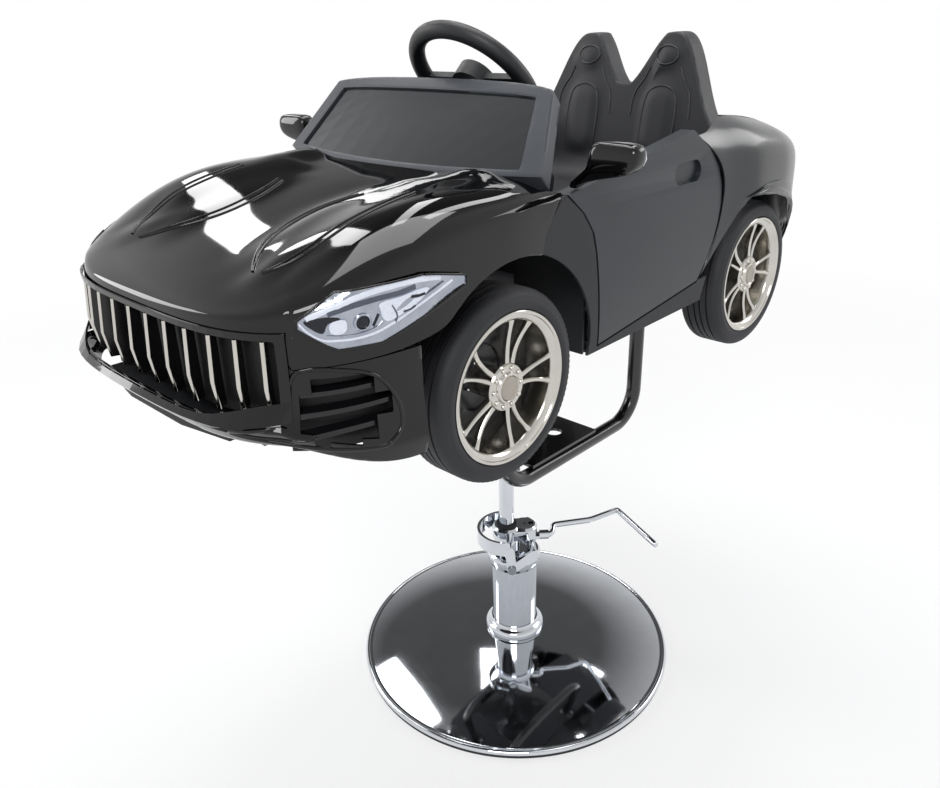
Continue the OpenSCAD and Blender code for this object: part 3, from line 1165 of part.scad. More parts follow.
// Rear end: the same square grid as the front, rounded into the tail
tail_len = tail_y - rear_round_y;
rear_half = half_w(rear_round_y);
deck_z0 = 1004;
deck_fall = 62;
deck_from_y = 250;
haunch_x = 205;
haunch_rise = 14;
haunch_len = 60;
rear_shoulder_z = 880;
deck_edge_z = 1012;
cockpit_share = 0.8;
deck_spread = 0.62;
cockpit_row_share = 0.29;
rear_low_z = 770;
arch_start_angle = asin((rear_low_z - axle_z) / arch_r);
arch_end_share = 0.62;
function deck_z(x, y) = let (t = clamp01((y - deck_from_y) / (tail_y - deck_from_y)))
    deck_z0 - deck_fall * pow(t, 1.5) + haunch_rise * bell((abs(x) - haunch_x) / haunch_len) * (1 - t);
function rear_edge_y(a) = let (z = min(door_top_end_z, roll_z(rear_shoulder_z, deck_edge_z, a))) seam_rear(z) + door_gap;
// Ahead of the seat back the deck's inner edge runs out towards the doors
function deck_share(a, v) = v > 0 ? a : sign(a) * (1 - (1 - abs(a)) * (1 - deck_spread * ease((-v - 0.15) / 0.7)));
function rear_top(u, v) = let (a = deck_share(clamp(u), v), b = min(1, v), s = round_share(a, max(0, b), tail_square),
        y = v > 0 ? rear_round_y + s[1] * tail_len : mix(rear_round_y, rear_edge_y(abs(a)), -v),
        x = v > 0 ? s[0] * rear_half : a * half_w(y),
        r = v > 0 ? max(abs(a), abs(b)) : abs(a))
    [x, y, roll_z(rear_shoulder_z, deck_z(x, y), r)];
function rear_low(u, v) = let (s = sign(u), b = min(1, v))
    abs(u) < 1 && v > 1 ? concat([for (k = round_share(u, 1, tail_square)) k], 0)
    : [s, b, 0];
function tail_plan(a, b) = let (s = round_share(a, b, tail_square)) [s[0] * rear_half, rear_round_y + s[1] * tail_len];
function side_low(s, b) = let (g = mix(180 - arch_start_angle, 0, (b + 1) / (1 + arch_end_share)))
    b <= arch_end_share ? let (y = rear_axle_y + arch_r * cos(g), z = axle_z + arch_r * sin(g), p = side_x(y)) [s * (p - side_drop(z) + side_drop(rear_shoulder_z)), y, z]
    : let (e = ease((b - arch_end_share) / 0.12), p = tail_plan(1, b),
        y = mix(rear_axle_y + arch_r, max(p[1], rear_axle_y + arch_r), e)) [s * side_x(y), y, mix(axle_z, rear_low_z, e)];
// Half width of the rounded plan at the place y
function side_x(y) = y <= rear_round_y ? half_w(y)
    : rear_half * pow(max(0, 1 - pow(min(1, (y - rear_round_y) / tail_len), tail_square)), 1 / tail_square);
function rear_pt(u, v) = abs(u) <= 1 && v <= 1 ? rear_top(u, v)
    : abs(u) <= 1 ? let (p = tail_plan(u, 1), d = v - 1, top = rear_top(u, 1)) [p[0], p[1], mix(top[2], rear_low_z, d)]
    : let (d = abs(u) - 1, s = sign(u), b = min(1, v), top = rear_top(s, b), low = side_low(s, b),
        z = mix(top[2], low[2], d), lean = 1 - clamp01((b + 1) / 0.35),
        ya = mix(top[1], low[1], d), yb = mix(rear_edge_y(1), side_low(s, -1)[1], d),
        y = ya + lean * (max(seam_rear(z) + door_gap, ya - 60) - yb))
        [s * (side_x(y) - side_drop(z) + side_drop(rear_shoulder_z)), y, z];
rear_cols = 24;
edge_line_share = 0.9996;
rear_wall_steps = 4;
rear_front_rows = 5;
rear_back_rows = 8;
rear_lines = round_lines(rear_cols);
rear_u = concat([for (k = [rear_wall_steps:-1:1]) -1 - k / rear_wall_steps], [-1, -edge_line_share],
    [for (k = [1:rear_cols - 1]) rear_lines[k]], [edge_line_share, 1],
    [for (k = [1:rear_wall_steps]) 1 + k / rear_wall_steps]);
rear_v = concat([for (k = [0:rear_front_rows]) -1 + k / rear_front_rows],
    [cockpit_row_share], [for (k = [2:rear_back_rows]) sin(90 * k / rear_back_rows)],
    [for (k = [1:rear_wall_steps]) 1 + k / rear_wall_steps]);
module rear_clip() {
    f = function (u, v) rear_pt(u, v);
    outer = [for (u = rear_u) [for (v = rear_v) f(u, v)]];
    inner = [for (u = rear_u) [for (v = rear_v)
        let (cu = v > 1 ? clamp(u) : u, cv = abs(u) > 1 ? min(1, v) : v)
        f(u, v) + skin_t * inward(f, cu, cv, abs(cu) > 1 ? -2 : -1, abs(cu) > 1 ? 2 : 1, -1, cv > 1 ? 2 : 1)]];
    nu = len(rear_u) - 1;
    nv = len(rear_v) - 1;
    w = rear_wall_steps;
    state = function (i, j) (i < w || i >= nu - w) && j >= nv - w ? 2
        : j <= rear_front_rows && abs((rear_u[i] + rear_u[i + 1]) / 2) < cockpit_share ? 0 : 1;
    home = function (i, j) j > nv - w && i == w ? [nv - j, nv - w] : j > nv - w && i == nu - w ? [nu - (nv - j), nv - w] : [i, j];
    color("#2b2f35") skin(outer, inner, state, home);
}
tail_lamp_share = [0.35, 0.93];
tail_lamp_z = [842, 866];
lamp_cols = 10;
module tail_lamps() {
    color("#5c0f12") for (s = [-1, 1]) {
        us = [for (k = [0:lamp_cols]) s * mix(tail_lamp_share[0], tail_lamp_share[1], (s > 0 ? k : lamp_cols - k) / lamp_cols)];
        f = function (u, z, off) let (p = tail_plan(u, 1), n = unit([p[0] / rear_half, (p[1] - rear_round_y) / tail_len]))
            [p[0] + off * n[0], p[1] + off * n[1], z];
        loft([for (u = us) [f(u, tail_lamp_z[0], 0.8), f(u, tail_lamp_z[0], 3.8), f(u, tail_lamp_z[1], 3.8), f(u, tail_lamp_z[1], 0.8)]]);
    }
}

// Seat: one moulded shell, a cushion that turns up into a twin-peaked back
seat_front_y = 62;
seat_top_z = 880;
seat_bend_r = 48;
seat_bend_y = 252;
back_lean = 11;
cushion_t = seat_top_z - seat_rest_z - part_gap;
back_t = 58;
back_top_share = 0.74;
seat_flat_share = 0.08;
seat_side_drop = 165;
seat_side_share = 0.69;
seat_valley_z = 1040;
pad_h = 6;
pad_x = 80;
seat_cols = 26;
cushion_rows = 5;
bend_rows = 4;
back_rows = 13;
seat_half = seat_w / 2;
function seat_top(x) = let (a = abs(x), t = abs(a - seat_peak_x) / (a < seat_peak_x ? seat_peak_x : seat_half - seat_peak_x))
    a < seat_peak_x ? mix(seat_peak_z, seat_valley_z, ease((t - seat_flat_share) / (1 - 2 * seat_flat_share)))
    : seat_peak_z - seat_side_drop * (1 - exp(-pow(t / seat_side_share, 2.5)));
// Rounded pad of half sizes a and b: 1 on it, 0 away from it
function pad(x, z, a, b) = 1 - ease((pow(pow(abs(x) / a, 3) + pow(abs(z) / b, 3), 1 / 3) - 0.85) / 0.3);
// Front face of the seat: m is 0 to 1 on the cushion, to 2 in the bend, to 3 up the back
function seat_pt(x, m) = let (
        bend_end = [seat_bend_y + seat_bend_r * cos(back_lean), seat_top_z + seat_bend_r * (1 - sin(back_lean))],
        up = m - 2, z = mix(bend_end[1], seat_top(x), up), bolster = 16 * pow(abs(x) / seat_half, 5))
    m <= 1 ? [x, mix(seat_front_y, seat_bend_y, m), seat_top_z + bolster * ease(m * 2) - 8 * pow(1 - m, 6)]
    : m <= 2 ? let (a = (m - 1) * (90 - back_lean)) [x, seat_bend_y + seat_bend_r * sin(a), seat_top_z + seat_bend_r * (1 - cos(a)) + bolster * (2 - m)]
    : [x, bend_end[0] + (z - bend_end[1]) * tan(back_lean)
        - pad_h * pad(abs(x) - pad_x, z - 985, 32, 58) - pad_h * pad(abs(x) - pad_x, z - 1089, 22, 16), z];
function seat_back(x, m) = let (p = seat_pt(x, m), t = mix(cushion_t, back_t, ease(m - 1)), a = clamp01(m - 1) * (90 - back_lean))
    m <= 2 ? [x, p[1] + t * sin(a), max(seat_rest_z + part_gap, p[2] - t * cos(a))]
    : [x, seat_pt(x, 2)[1] + (p[2] - seat_pt(x, 2)[2]) * tan(back_lean) + t / cos(back_lean) * mix(1, back_top_share, m - 2), p[2]];
module seat() {
    xs = [for (i = [0:seat_cols]) mix(-seat_half, seat_half, i / seat_cols)];
    ms = concat([for (k = [0:cushion_rows]) k / cushion_rows], [for (k = [1:bend_rows]) 1 + k / bend_rows],
        [for (k = [1:back_rows]) 2 + k / back_rows]);
    color("#141518") skin([for (x = xs) [for (m = ms) seat_pt(x, m)]], [for (x = xs) [for (m = ms) seat_back(x, m)]], function (i, j) 1);
}

base_cover();
base_plate();
floor_ring();
collar_ring();
outer_tube();
inner_cylinder();
pump_head();
rod_seal();
plunger();
plunger_spring();
pedal_yoke();
pedal_bar();
pivot_pin();
lift_piston();
lift_rod();
swivel_socket();
cradle_plate();
cradle_tube_left();
cradle_tube_right();
cradle_bolts();
chassis_tub();
front_clip();
front_bumper();
intake_louvres();
grille_frame();
grille_slats();
headlamp_left();
headlamp_right();
windscreen_frame();
windscreen_pane();
mirror_left();
mirror_right();
dashboard();
steering_column();
steering_wheel();
horn_button();
door_left();
door_right();
door_hinge_pins();
rear_clip();
tail_lamps();
seat();
front_axle();
knuckle_left();
knuckle_right();
tie_rod();
rear_axle();
tyre_front_left();
tyre_front_right();
tyre_rear_left();
tyre_rear_right();
rim_front_left();
rim_front_right();
rim_rear_left();
rim_rear_right();
hub_cap_front_left();
hub_cap_front_right();
hub_cap_rear_left();
hub_cap_rear_right();
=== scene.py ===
import json
import math

import bmesh
import bpy
from mathutils import Matrix, Vector
from mathutils.bvhtree import BVHTree

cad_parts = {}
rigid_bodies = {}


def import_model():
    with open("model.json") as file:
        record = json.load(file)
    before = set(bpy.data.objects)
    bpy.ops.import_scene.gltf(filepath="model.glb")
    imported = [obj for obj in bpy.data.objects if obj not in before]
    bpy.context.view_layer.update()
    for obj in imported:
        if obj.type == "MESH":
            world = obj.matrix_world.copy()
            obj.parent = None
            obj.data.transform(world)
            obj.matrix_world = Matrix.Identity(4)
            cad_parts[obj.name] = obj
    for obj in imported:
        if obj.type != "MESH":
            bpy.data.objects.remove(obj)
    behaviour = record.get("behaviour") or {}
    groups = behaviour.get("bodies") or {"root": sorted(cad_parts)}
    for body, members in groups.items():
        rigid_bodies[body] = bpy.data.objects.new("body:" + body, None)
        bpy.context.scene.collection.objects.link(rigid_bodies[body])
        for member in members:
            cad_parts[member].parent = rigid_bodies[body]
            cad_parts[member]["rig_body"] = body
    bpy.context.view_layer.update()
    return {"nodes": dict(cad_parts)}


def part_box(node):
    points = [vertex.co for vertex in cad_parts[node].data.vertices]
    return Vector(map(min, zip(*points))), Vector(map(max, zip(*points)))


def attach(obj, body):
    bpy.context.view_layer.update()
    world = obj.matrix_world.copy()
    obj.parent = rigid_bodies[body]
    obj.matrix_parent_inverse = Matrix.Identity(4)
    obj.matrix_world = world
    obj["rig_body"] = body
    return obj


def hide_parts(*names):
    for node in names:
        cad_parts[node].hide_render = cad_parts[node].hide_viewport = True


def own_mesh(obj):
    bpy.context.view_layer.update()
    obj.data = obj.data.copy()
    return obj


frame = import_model()
nodes = frame["nodes"]
print("frame loaded:", len(nodes), "nodes")

mm = 0.001

# Camera: solved from the photo's wheel ellipses and mirrored body lines
cameraPlace = {
    "eye": (0.87329, -0.99421, 1.14969),
    "azimuth": 44.01,      # degrees, 0 looks along +Y
    "elevation": 24.35,
    "roll": -1.57,
    "focalPixels": 824.09,
    "pictureWidth": 940,
    "sensorWidth": 36,     # mm
}


def placed(name, data):
    obj = bpy.data.objects.new(name, data)
    bpy.context.scene.collection.objects.link(obj)
    return obj


def makeCamera():
    place = cameraPlace
    azimuth = math.radians(place["azimuth"])
    elevation = math.radians(place["elevation"])
    flat = math.cos(elevation)
    back = Vector((math.sin(azimuth) * flat, -math.cos(azimuth) * flat, math.sin(elevation)))
    right = (-back).cross(Vector((0, 0, 1))).normalized()
    up = right.cross(-back)
    roll = math.radians(place["roll"])
    turnedRight = math.cos(roll) * right + math.sin(roll) * up
    turnedUp = -math.sin(roll) * right + math.cos(roll) * up
    data = bpy.data.cameras.new("photoCamera")
    data.sensor_width = place["sensorWidth"]
    data.lens = place["focalPixels"] / place["pictureWidth"] * data.sensor_width
    camera = placed("photoCamera", data)
    axes = Matrix((turnedRight, turnedUp, back)).transposed().to_4x4()
    camera.matrix_world = Matrix.Translation(place["eye"]) @ axes
    bpy.context.scene.camera = camera


makeCamera()
print("camera placed")


# Materials

def linear(hexColour):
    parts = []
    for k in (0, 2, 4):
        share = int(hexColour[k:k + 2], 16) / 255
        parts.append(share / 12.92 if share <= 0.04045 else ((share + 0.055) / 1.055) ** 2.4)
    return (*parts, 1.0)


def addNode(tree, kind, settings=None, links=None):
    node = tree.nodes.new(kind)
    for name, value in (settings or {}).items():
        if name in node.inputs:
            node.inputs[name].default_value = value
        else:
            setattr(node, name, value)
    for name, source in (links or {}).items():
        tree.links.new(source, node.inputs[name])
    return node


bumpPatterns = {
    # node, its settings, and the output that is read as height
    "waves": ("ShaderNodeTexNoise", {"Detail": 1.0}, "Fac"),
    "bloom": ("ShaderNodeTexNoise", {"Detail": 2.0}, "Fac"),
    "cells": ("ShaderNodeTexVoronoi", {}, "Distance"),
    "lay": ("ShaderNodeTexWave", {"Distortion": 3.0}, "Fac"),
}

plainShell = {"IOR": 1.5}
metal = {"Metallic": 1.0}

# Material, the shader's own values, patches of colour and gloss per metre, roughness from and to, colour from
# and to, and where it has bumps: pattern, its count per metre, strength, and height in metres
finishForms = {
    # Moulded ABS in high-gloss black: mirror-like, with the faint waviness of a thin moulding
    "gloss": ("glossBlackPlastic", {"IOR": 1.46}, 9.0, (0.03, 0.07), ("040405", "08080a"), ("waves", 14, 0.12, 0.0012)),
    # The same shell in a satin slate finish: soft broad sheen over a fine even grain.
    # The spark grain is about 0.6 mm apart, drawn at 1.2 mm so that it shows
    "satin": ("satinSlatePlastic", plainShell, 6.0, (0.34, 0.46), ("1c2026", "262b32"), ("waves", 830, 0.1, 0.0003)),
    # The rear shell: near-black with a soft gloss, between the bonnet's shine and the doors' satin
    "rearShell": ("rearShellPlastic", {"IOR": 1.5, "Coat Weight": 0.25, "Coat Roughness": 0.1}, 7.0, (0.22, 0.32),
                  ("101216", "181b20"), ("waves", 12.0, 0.1, 0.0012)),
    # Decorative chrome on steel: near-perfect mirror with faint polishing haze
    "chrome": ("chromePlate", metal, 22.0, (0.035, 0.075), ("c9ccd1", "dadde2"), ("waves", 5.0, 0.1, 0.002)),
    # Vacuum-plated ABS wheel: bright, a little warmer and softer than plated steel
    "wheel": ("wheelPlate", metal, 30.0, (0.12, 0.2), ("bcb9b2", "d3d0ca")),
    # Bare ground steel with fine lay marks
    "steel": ("groundSteel", metal, 60.0, (0.28, 0.42), ("7f8288", "9a9da2"), ("lay", 400.0, 0.08, 0.0002)),
    # Stoved gloss enamel on tube: slight orange peel
    "enamel": ("enamelBlack", {"IOR": 1.5, "Coat Weight": 0.4, "Coat Roughness": 0.08}, 18.0, (0.14, 0.24),
               ("0a0a0c", "121214"), ("waves", 260.0, 0.12, 0.0004)),
    # Painted axle steel, dusty
    "axle": ("greyPaint", plainShell, 40.0, (0.4, 0.6), ("5f6268", "77797f")),
    # Pressed rubber of the floor ring: dull all over
    "rubber": ("floorRubber", plainShell, 20.0, (0.6, 0.8), ("141416", "1e1e21")),
    # Blow-moulded tyre compound: dull, slightly bluish black with moulding bloom
    "tyre": ("tyreRubber", {"IOR": 1.52}, 24.0, (0.55, 0.74), ("17181b", "222328"), ("bloom", 420.0, 0.2, 0.0004)),
    # Smoked acrylic sheet, almost opaque, with a hard clean gloss
    "tint": ("tintedAcrylic", {"IOR": 1.49, "Alpha": 0.95, "Coat Weight": 0.5}, 3.0, (0.03, 0.06),
             ("15171b", "202328")),
    # Clear polycarbonate lamp lens
    "lens": ("clearLens", {"IOR": 1.5, "Alpha": 0.16}, 20.0, (0.01, 0.03), ("0a0c10", "14171d")),
    # Red acrylic of the tail lamps: deep and glossy
    "redLens": ("redLens", plainShell, 20.0, (0.08, 0.16), ("4a0c0f", "6b1216")),
    # Moulded hub disc in a plain beige grey, with a soft sheen
    "cap": ("beigeCap", plainShell, 60.0, (0.3, 0.42), ("a79f92", "bbb3a6")),
    # Primer paint under the foot
    "basePaint": ("basePaint", plainShell, 20.0, (0.4, 0.6), ("3c3e42", "4a4c50")),
    # Black ABS of the blades and louvres: half gloss
    "slat": ("slatBlack", plainShell, 20.0, (0.2, 0.3), ("0c0c0e", "131316")),
    # The wheels' plating again, on the grille's strips and the dials' bezels
    "trim": ("wheelPlate", metal, 30.0, (0.12, 0.2), ("bcb9b2", "d3d0ca")),
    # Gloss black ABS back plate of the wheels
    "disc": ("discBlack", plainShell, 12.0, (0.12, 0.22), ("101115", "1c1e24")),
    # Aluminium flashed on to a fluted moulding: bright, lightly broken reflections, flutes about 6 mm apart
    "reflector": ("lampReflector", metal, 60.0, (0.08, 0.18), ("a3abbb", "d8dde6"), ("cells", 165.0, 0.16, 0.001)),
    # Masks and steps inside the headlamp: clean moulded plastic in near-black and in grey
    "lampDark": ("lampMask", plainShell, 20.0, (0.06, 0.12), ("070a14", "10162a")),
    "lampShade": ("lampShade", plainShell, 20.0, (0.08, 0.16), ("4d5464", "757d8e")),
    # Bright bluish white strips and patches inside the headlamp: painted highlight standing in for the lens's
    # reflections, with a faint painted glow from emission although the lamp is not lit
    "lampStrip": ("lampStrip", {"IOR": 1.49, "Emission Strength": 0.35, "Emission Color": linear("e6eeff")}, 90.0,
                  (0.2, 0.34), ("dfe6f4", "f6f8fc")),
}

# Textured polypropylene, as under-trays and cabin mouldings are: dull, with a pressed grain. Material, roughness
# and colour from and to, the grain's size in mm, which is the mesh of the net, and its strength
texturedForms = {
    "tub": ("tubPolypropylene", (0.5, 0.68), ("141518", "1d1f23"), 1.4, 0.25),
    "screenFrame": ("screenFramePlastic", (0.4, 0.52), ("303339", "3b3f46"), 1.2, 0.12),
    "seat": ("seatPlastic", (0.46, 0.6), ("0f1014", "17181d"), 1.6, 0.22),
    "seatEdge": ("seatEdgePlastic", (0.3, 0.42), ("15161b", "1d1f25"), 1.2, 0.1),
    "interior": ("cabinPlastic", (0.5, 0.68), ("0f1013", "17181c"), 1.4, 0.25),
    "grip": ("gripPlastic", (0.38, 0.52), ("101114", "1a1b1f"), 1.8, 0.3),
    "net": ("grilleNet", (0.5, 0.7), ("060607", "0b0b0d"), 5.0, 0.6),
}
for key, (name, rough, colours, grain, strength) in texturedForms.items():
    finishForms[key] = (name, {"IOR": 1.49}, 11.0, rough, colours, ("cells", 1000 / grain, strength, 0.0004))


def newMaterial(name, settings):
    material = bpy.data.materials.new(name)
    material.use_nodes = True
    shader = material.node_tree.nodes["Principled BSDF"]
    for key, value in settings.items():
        shader.inputs[key].default_value = value
    return material, material.node_tree, shader


def makeFinish(name, settings, patches, rough, colours, bump=None):
    material, tree, shader = newMaterial(name, settings)
    place = addNode(tree, "ShaderNodeTexCoord").outputs["Object"]
    # Slow patches in colour and gloss, as moulded and painted faces have
    noise = addNode(tree, "ShaderNodeTexNoise", {"Scale": patches, "Detail": 3.0}, {"Vector": place})
    gloss = addNode(tree, "ShaderNodeMapRange", {"To Min": rough[0], "To Max": rough[1]},
                    {"Value": noise.outputs["Fac"]})
    tree.links.new(gloss.outputs["Result"], shader.inputs["Roughness"])
    ramp = addNode(tree, "ShaderNodeMix", {"data_type": "RGBA"}, {"Factor": noise.outputs["Fac"]})
    ramp.inputs[6].default_value = linear(colours[0])
    ramp.inputs[7].default_value = linear(colours[1])
    tree.links.new(ramp.outputs[2], shader.inputs["Base Color"])
    if bump:
        pattern, scale, strength, distance = bump
        kind, extra, output = bumpPatterns[pattern]
        height = addNode(tree, kind, {"Scale": scale, **extra}, {"Vector": place}).outputs[output]
        relief = addNode(tree, "ShaderNodeBump", {"Strength": strength, "Distance": distance}, {"Height": height})
        tree.links.new(relief.outputs["Normal"], shader.inputs["Normal"])
    return material


finishes = {key: makeFinish(*form) for key, form in finishForms.items()}
print("materials made:", len(finishes))

finishNodes = {
    "chrome": "base_cover collar_ring outer_tube pump_head pedal_yoke pedal_bar lift_rod",
    "basePaint": "base_plate",
    "rubber": "floor_ring rod_seal",
    "steel": "inner_cylinder plunger plunger_spring pivot_pin lift_piston cradle_bolts steering_column "
             "door_hinge_pins tie_rod",
    "enamel": "swivel_socket cradle_plate cradle_tube_left cradle_tube_right",
    "tub": "chassis_tub",
    "gloss": "front_clip front_bumper grille_frame mirror_left mirror_right",
    "satin": "door_left door_right",
    "rearShell": "rear_clip",
    "slat": "intake_louvres grille_slats",
    "lens": "headlamp_left headlamp_right",
    "redLens": "tail_lamps",
    "screenFrame": "windscreen_frame",
    "tint": "windscreen_pane",
    "interior": "dashboard horn_button",
    "grip": "steering_wheel",
    "seat": "seat",
    "axle": "front_axle rear_axle knuckle_left knuckle_right",
}
nodeFinish = {node: finish for finish, names in finishNodes.items() for node in names.split()}
wheelCorners = ["front_left", "front_right", "rear_left", "rear_right"]
for corner in wheelCorners:
    nodeFinish["tyre_" + corner] = "tyre"
    nodeFinish["rim_" + corner] = "wheel"
    nodeFinish["hub_cap_" + corner] = "cap"

bodyOf = {name: obj["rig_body"] for name, obj in nodes.items()}


def dress(obj, finish):
    obj.data.materials.clear()
    obj.data.materials.append(finishes[finish])


for name, obj in nodes.items():
    dress(obj, nodeFinish[name])


# Studio

rangeInputs = ("From Min", "From Max", "To Min", "To Max")
studio = {
    "floorHalf": 60.0,
    "floorColour": "f4f4f5",
    "floorRoughness": 0.85,
    "glow": (0.7, 3.2, 0.62, 1.0),      # the floor's share of plain white, by metres from the middle
    "wallColour": "dfe2e6",
    "wallStrength": 0.42,
    "ceiling": (0.15, 0.95, 1.0, 0.62),     # how white the ceiling is, by how far a ray points up
    "dimWay": (-0.52, 0.5, 0.69),       # the ceiling that the bonnet mirrors towards the photo's camera
    "dim": (0.82, 0.94, 1.0, 0.12),     # how white it is there, by how close a ray is to that way
    "lamps": [
        # name, place, aim, size, watts
        ("keyLamp", (1.9, -2.6, 3.3), (0, 0, 0.8), (1.6, 1.1), 62),
        ("topLamp", (-0.3, 0.3, 3.6), (0, 0, 0.9), (2.2, 1.6), 48),
        ("leftLamp", (-2.9, -1.6, 2.1), (0, -0.1, 0.8), (1.0, 1.8), 30),
        ("backLamp", (1.6, 3.0, 2.4), (0, 0.1, 0.9), (1.8, 1.2), 26),
        ("nearWindow", (-1.15, 0.95, 2.9), (0, -0.45, 0.9), (0.34, 1.5), 9),
        ("farWindow", (-0.35, 1.5, 2.9), (0, -0.45, 0.9), (0.3, 1.4), 8),
        ("sideWindow", (-1.9, 0.25, 2.5), (0, -0.45, 0.9), (0.3, 1.3), 9),
    ],
}


def shownShare(tree):
    # 1 where a ray comes from the camera, a mirror or glass, so that all three see the same backdrop
    path = addNode(tree, "ShaderNodeLightPath")
    share = path.outputs["Is Camera Ray"]
    for kind in ("Is Glossy Ray", "Is Transmission Ray"):
        share = addNode(tree, "ShaderNodeMath", {"operation": "MAXIMUM"},
                        {0: share, 1: path.outputs[kind]}).outputs[0]
    return share


def mixedShaders(tree, share, under, over, target):
    mixed = addNode(tree, "ShaderNodeMixShader", None, {"Fac": share, 1: under, 2: over})
    tree.links.new(mixed.outputs[0], target)


def meshOf(shape, name):
    mesh = bpy.data.meshes.new(name)
    shape.to_mesh(mesh)
    shape.free()
    return mesh


def makeFloor():
    shape = bmesh.new()
    bmesh.ops.create_grid(shape, x_segments=1, y_segments=1, size=studio["floorHalf"])
    floor = placed("studioFloor", meshOf(shape, "studioFloor"))
    material, tree, shader = newMaterial("paperFloor", {
        "Roughness": studio["floorRoughness"], "Base Color": linear(studio["floorColour"])})
    light = addNode(tree, "ShaderNodeEmission", {"Color": (1, 1, 1, 1), "Strength": 1.0})
    # The paper brightens away from the object, so that it meets the white backdrop with no edge
    place = addNode(tree, "ShaderNodeTexCoord").outputs["Object"]
    away = addNode(tree, "ShaderNodeVectorMath", {"operation": "LENGTH"}, {0: place})
    glow = addNode(tree, "ShaderNodeMapRange", dict(zip(rangeInputs, studio["glow"])),
                   {"Value": away.outputs["Value"]})
    share = addNode(tree, "ShaderNodeMath", {"operation": "MULTIPLY"},
                    {0: shownShare(tree), 1: glow.outputs["Result"]})
    mixedShaders(tree, share.outputs[0], shader.outputs["BSDF"], light.outputs["Emission"],
                 tree.nodes["Material Output"].inputs["Surface"])
    floor.data.materials.append(material)


def makeLamps():
    for name, place, aim, size, watts in studio["lamps"]:
        data = bpy.data.lights.new(name, "AREA")
        data.shape = "RECTANGLE"
        data.size, data.size_y = size
        data.energy = watts
        lamp = placed(name, data)
        lamp.location = place
        lamp.rotation_euler = (Vector(aim) - Vector(place)).to_track_quat("-Z", "Y").to_euler()


def makeWorld():
    world = bpy.data.worlds.new("studioWorld")
    bpy.context.scene.world = world
    world.use_nodes = True
    tree = world.node_tree
    back = tree.nodes["Background"]
    back.inputs["Color"].default_value = linear(studio["wallColour"])
    back.inputs["Strength"].default_value = studio["wallStrength"]
    # White walls under a grey ceiling, which is dark on one side
    way = addNode(tree, "ShaderNodeTexCoord").outputs["Generated"]
    upward = addNode(tree, "ShaderNodeSeparateXYZ", None, {"Vector": way})
    ceiling = addNode(tree, "ShaderNodeMapRange", dict(zip(rangeInputs, studio["ceiling"])),
                      {"Value": upward.outputs["Z"]})
    aside = addNode(tree, "ShaderNodeVectorMath", {"operation": "DOT_PRODUCT"}, {0: way})
    aside.inputs[1].default_value = Vector(studio["dimWay"]).normalized()
    dim = addNode(tree, "ShaderNodeMapRange", dict(zip(rangeInputs, studio["dim"])),
                  {"Value": aside.outputs["Value"]})
    both = addNode(tree, "ShaderNodeMath", {"operation": "MULTIPLY"},
                   {0: ceiling.outputs["Result"], 1: dim.outputs["Result"]})
    white = addNode(tree, "ShaderNodeBackground", {"Color": (1, 1, 1, 1)}, {"Strength": both.outputs[0]})
    mixedShaders(tree, shownShare(tree), back.outputs[0], white.outputs[0],
                 tree.nodes["World Output"].inputs["Surface"])
    bpy.context.scene.view_settings.view_transform = "Standard"


makeFloor()
makeLamps()
makeWorld()
print("studio lit")


# Mesh helpers

meshForm = {
    "mergeDistance": 2e-5,
    "quadTurn": 40,         # degrees between two triangles that become one quad
    "quadSkew": 60,
    "crease": 0.85,
    "flatTurn": 0.6,        # edges flatter than this are dissolved before a bevel
    "sunk": 1.2 * mm,       # how deep a raised line starts under its surface
}


def finishPiece(shape, name, node, finish, angle=40, replaces=False):
    # A visible piece on the node's body and in its material slot
    mesh = meshOf(shape, name)
    for polygon in mesh.polygons:
        polygon.use_smooth = True
    mesh.set_sharp_from_angle(angle=math.radians(angle))
    piece = placed(name, mesh)
    dress(piece, finish)
    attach(piece, bodyOf[node])
    if replaces:
        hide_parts(node)
    return piece


def remade(shape, node, kind, angle=40):
    # A piece that takes the node's place, in its finish
    return finishPiece(shape, f"{node}.{kind}", node, nodeFinish[node], angle, replaces=True)


def mergedCopy(node):
    # The node's own shape as one closed mesh
    shape = bmesh.new()
    shape.from_mesh(nodes[node].data)
    bmesh.ops.remove_doubles(shape, verts=shape.verts, dist=meshForm["mergeDistance"])
    return shape


def toQuads(shape):
    bmesh.ops.join_triangles(
        shape, faces=shape.faces, angle_face_threshold=math.radians(meshForm["quadTurn"]),
        angle_shape_threshold=math.radians(meshForm["quadSkew"]), cmp_seam=False, cmp_sharp=False,
        cmp_uvs=False, cmp_vcols=False, cmp_materials=False)


def creaseSharp(shape, turn):
    layer = shape.edges.layers.float.new("crease_edge")
    for edge in shape.edges:
        if len(edge.link_faces) == 2 and edge.calc_face_angle(0) > math.radians(turn):
            edge[layer] = meshForm["crease"]


def smoothed(piece, levels):
    subdivision = piece.modifiers.new("smooth", "SUBSURF")
    subdivision.levels = levels
    subdivision.render_levels = levels
    return piece


def smoothNode(node, turn=38, levels=2):
    shape = mergedCopy(node)
    toQuads(shape)
    creaseSharp(shape, turn)
    return smoothed(remade(shape, node, "skin", 60), levels)


def bevelNode(node, width, segments, turn=32):
    shape = mergedCopy(node)
    bmesh.ops.dissolve_limit(shape, angle_limit=math.radians(meshForm["flatTurn"]), verts=shape.verts,
                             edges=shape.edges)
    edge = remade(shape, node, "finish", turn).modifiers.new("edges", "BEVEL")
    edge.width = width
    edge.segments = segments
    edge.limit_method = "ANGLE"
    edge.angle_limit = math.radians(turn)
    edge.harden_normals = True


def thickened(piece, thickness):
    wall = piece.modifiers.new("sheet", "SOLIDIFY")
    wall.thickness = thickness
    wall.offset = -1


def moved(shape, *steps):
    for step in steps:
        bmesh.ops.transform(shape, matrix=step, verts=shape.verts)
    bmesh.ops.recalc_face_normals(shape, faces=shape.faces)
    return shape


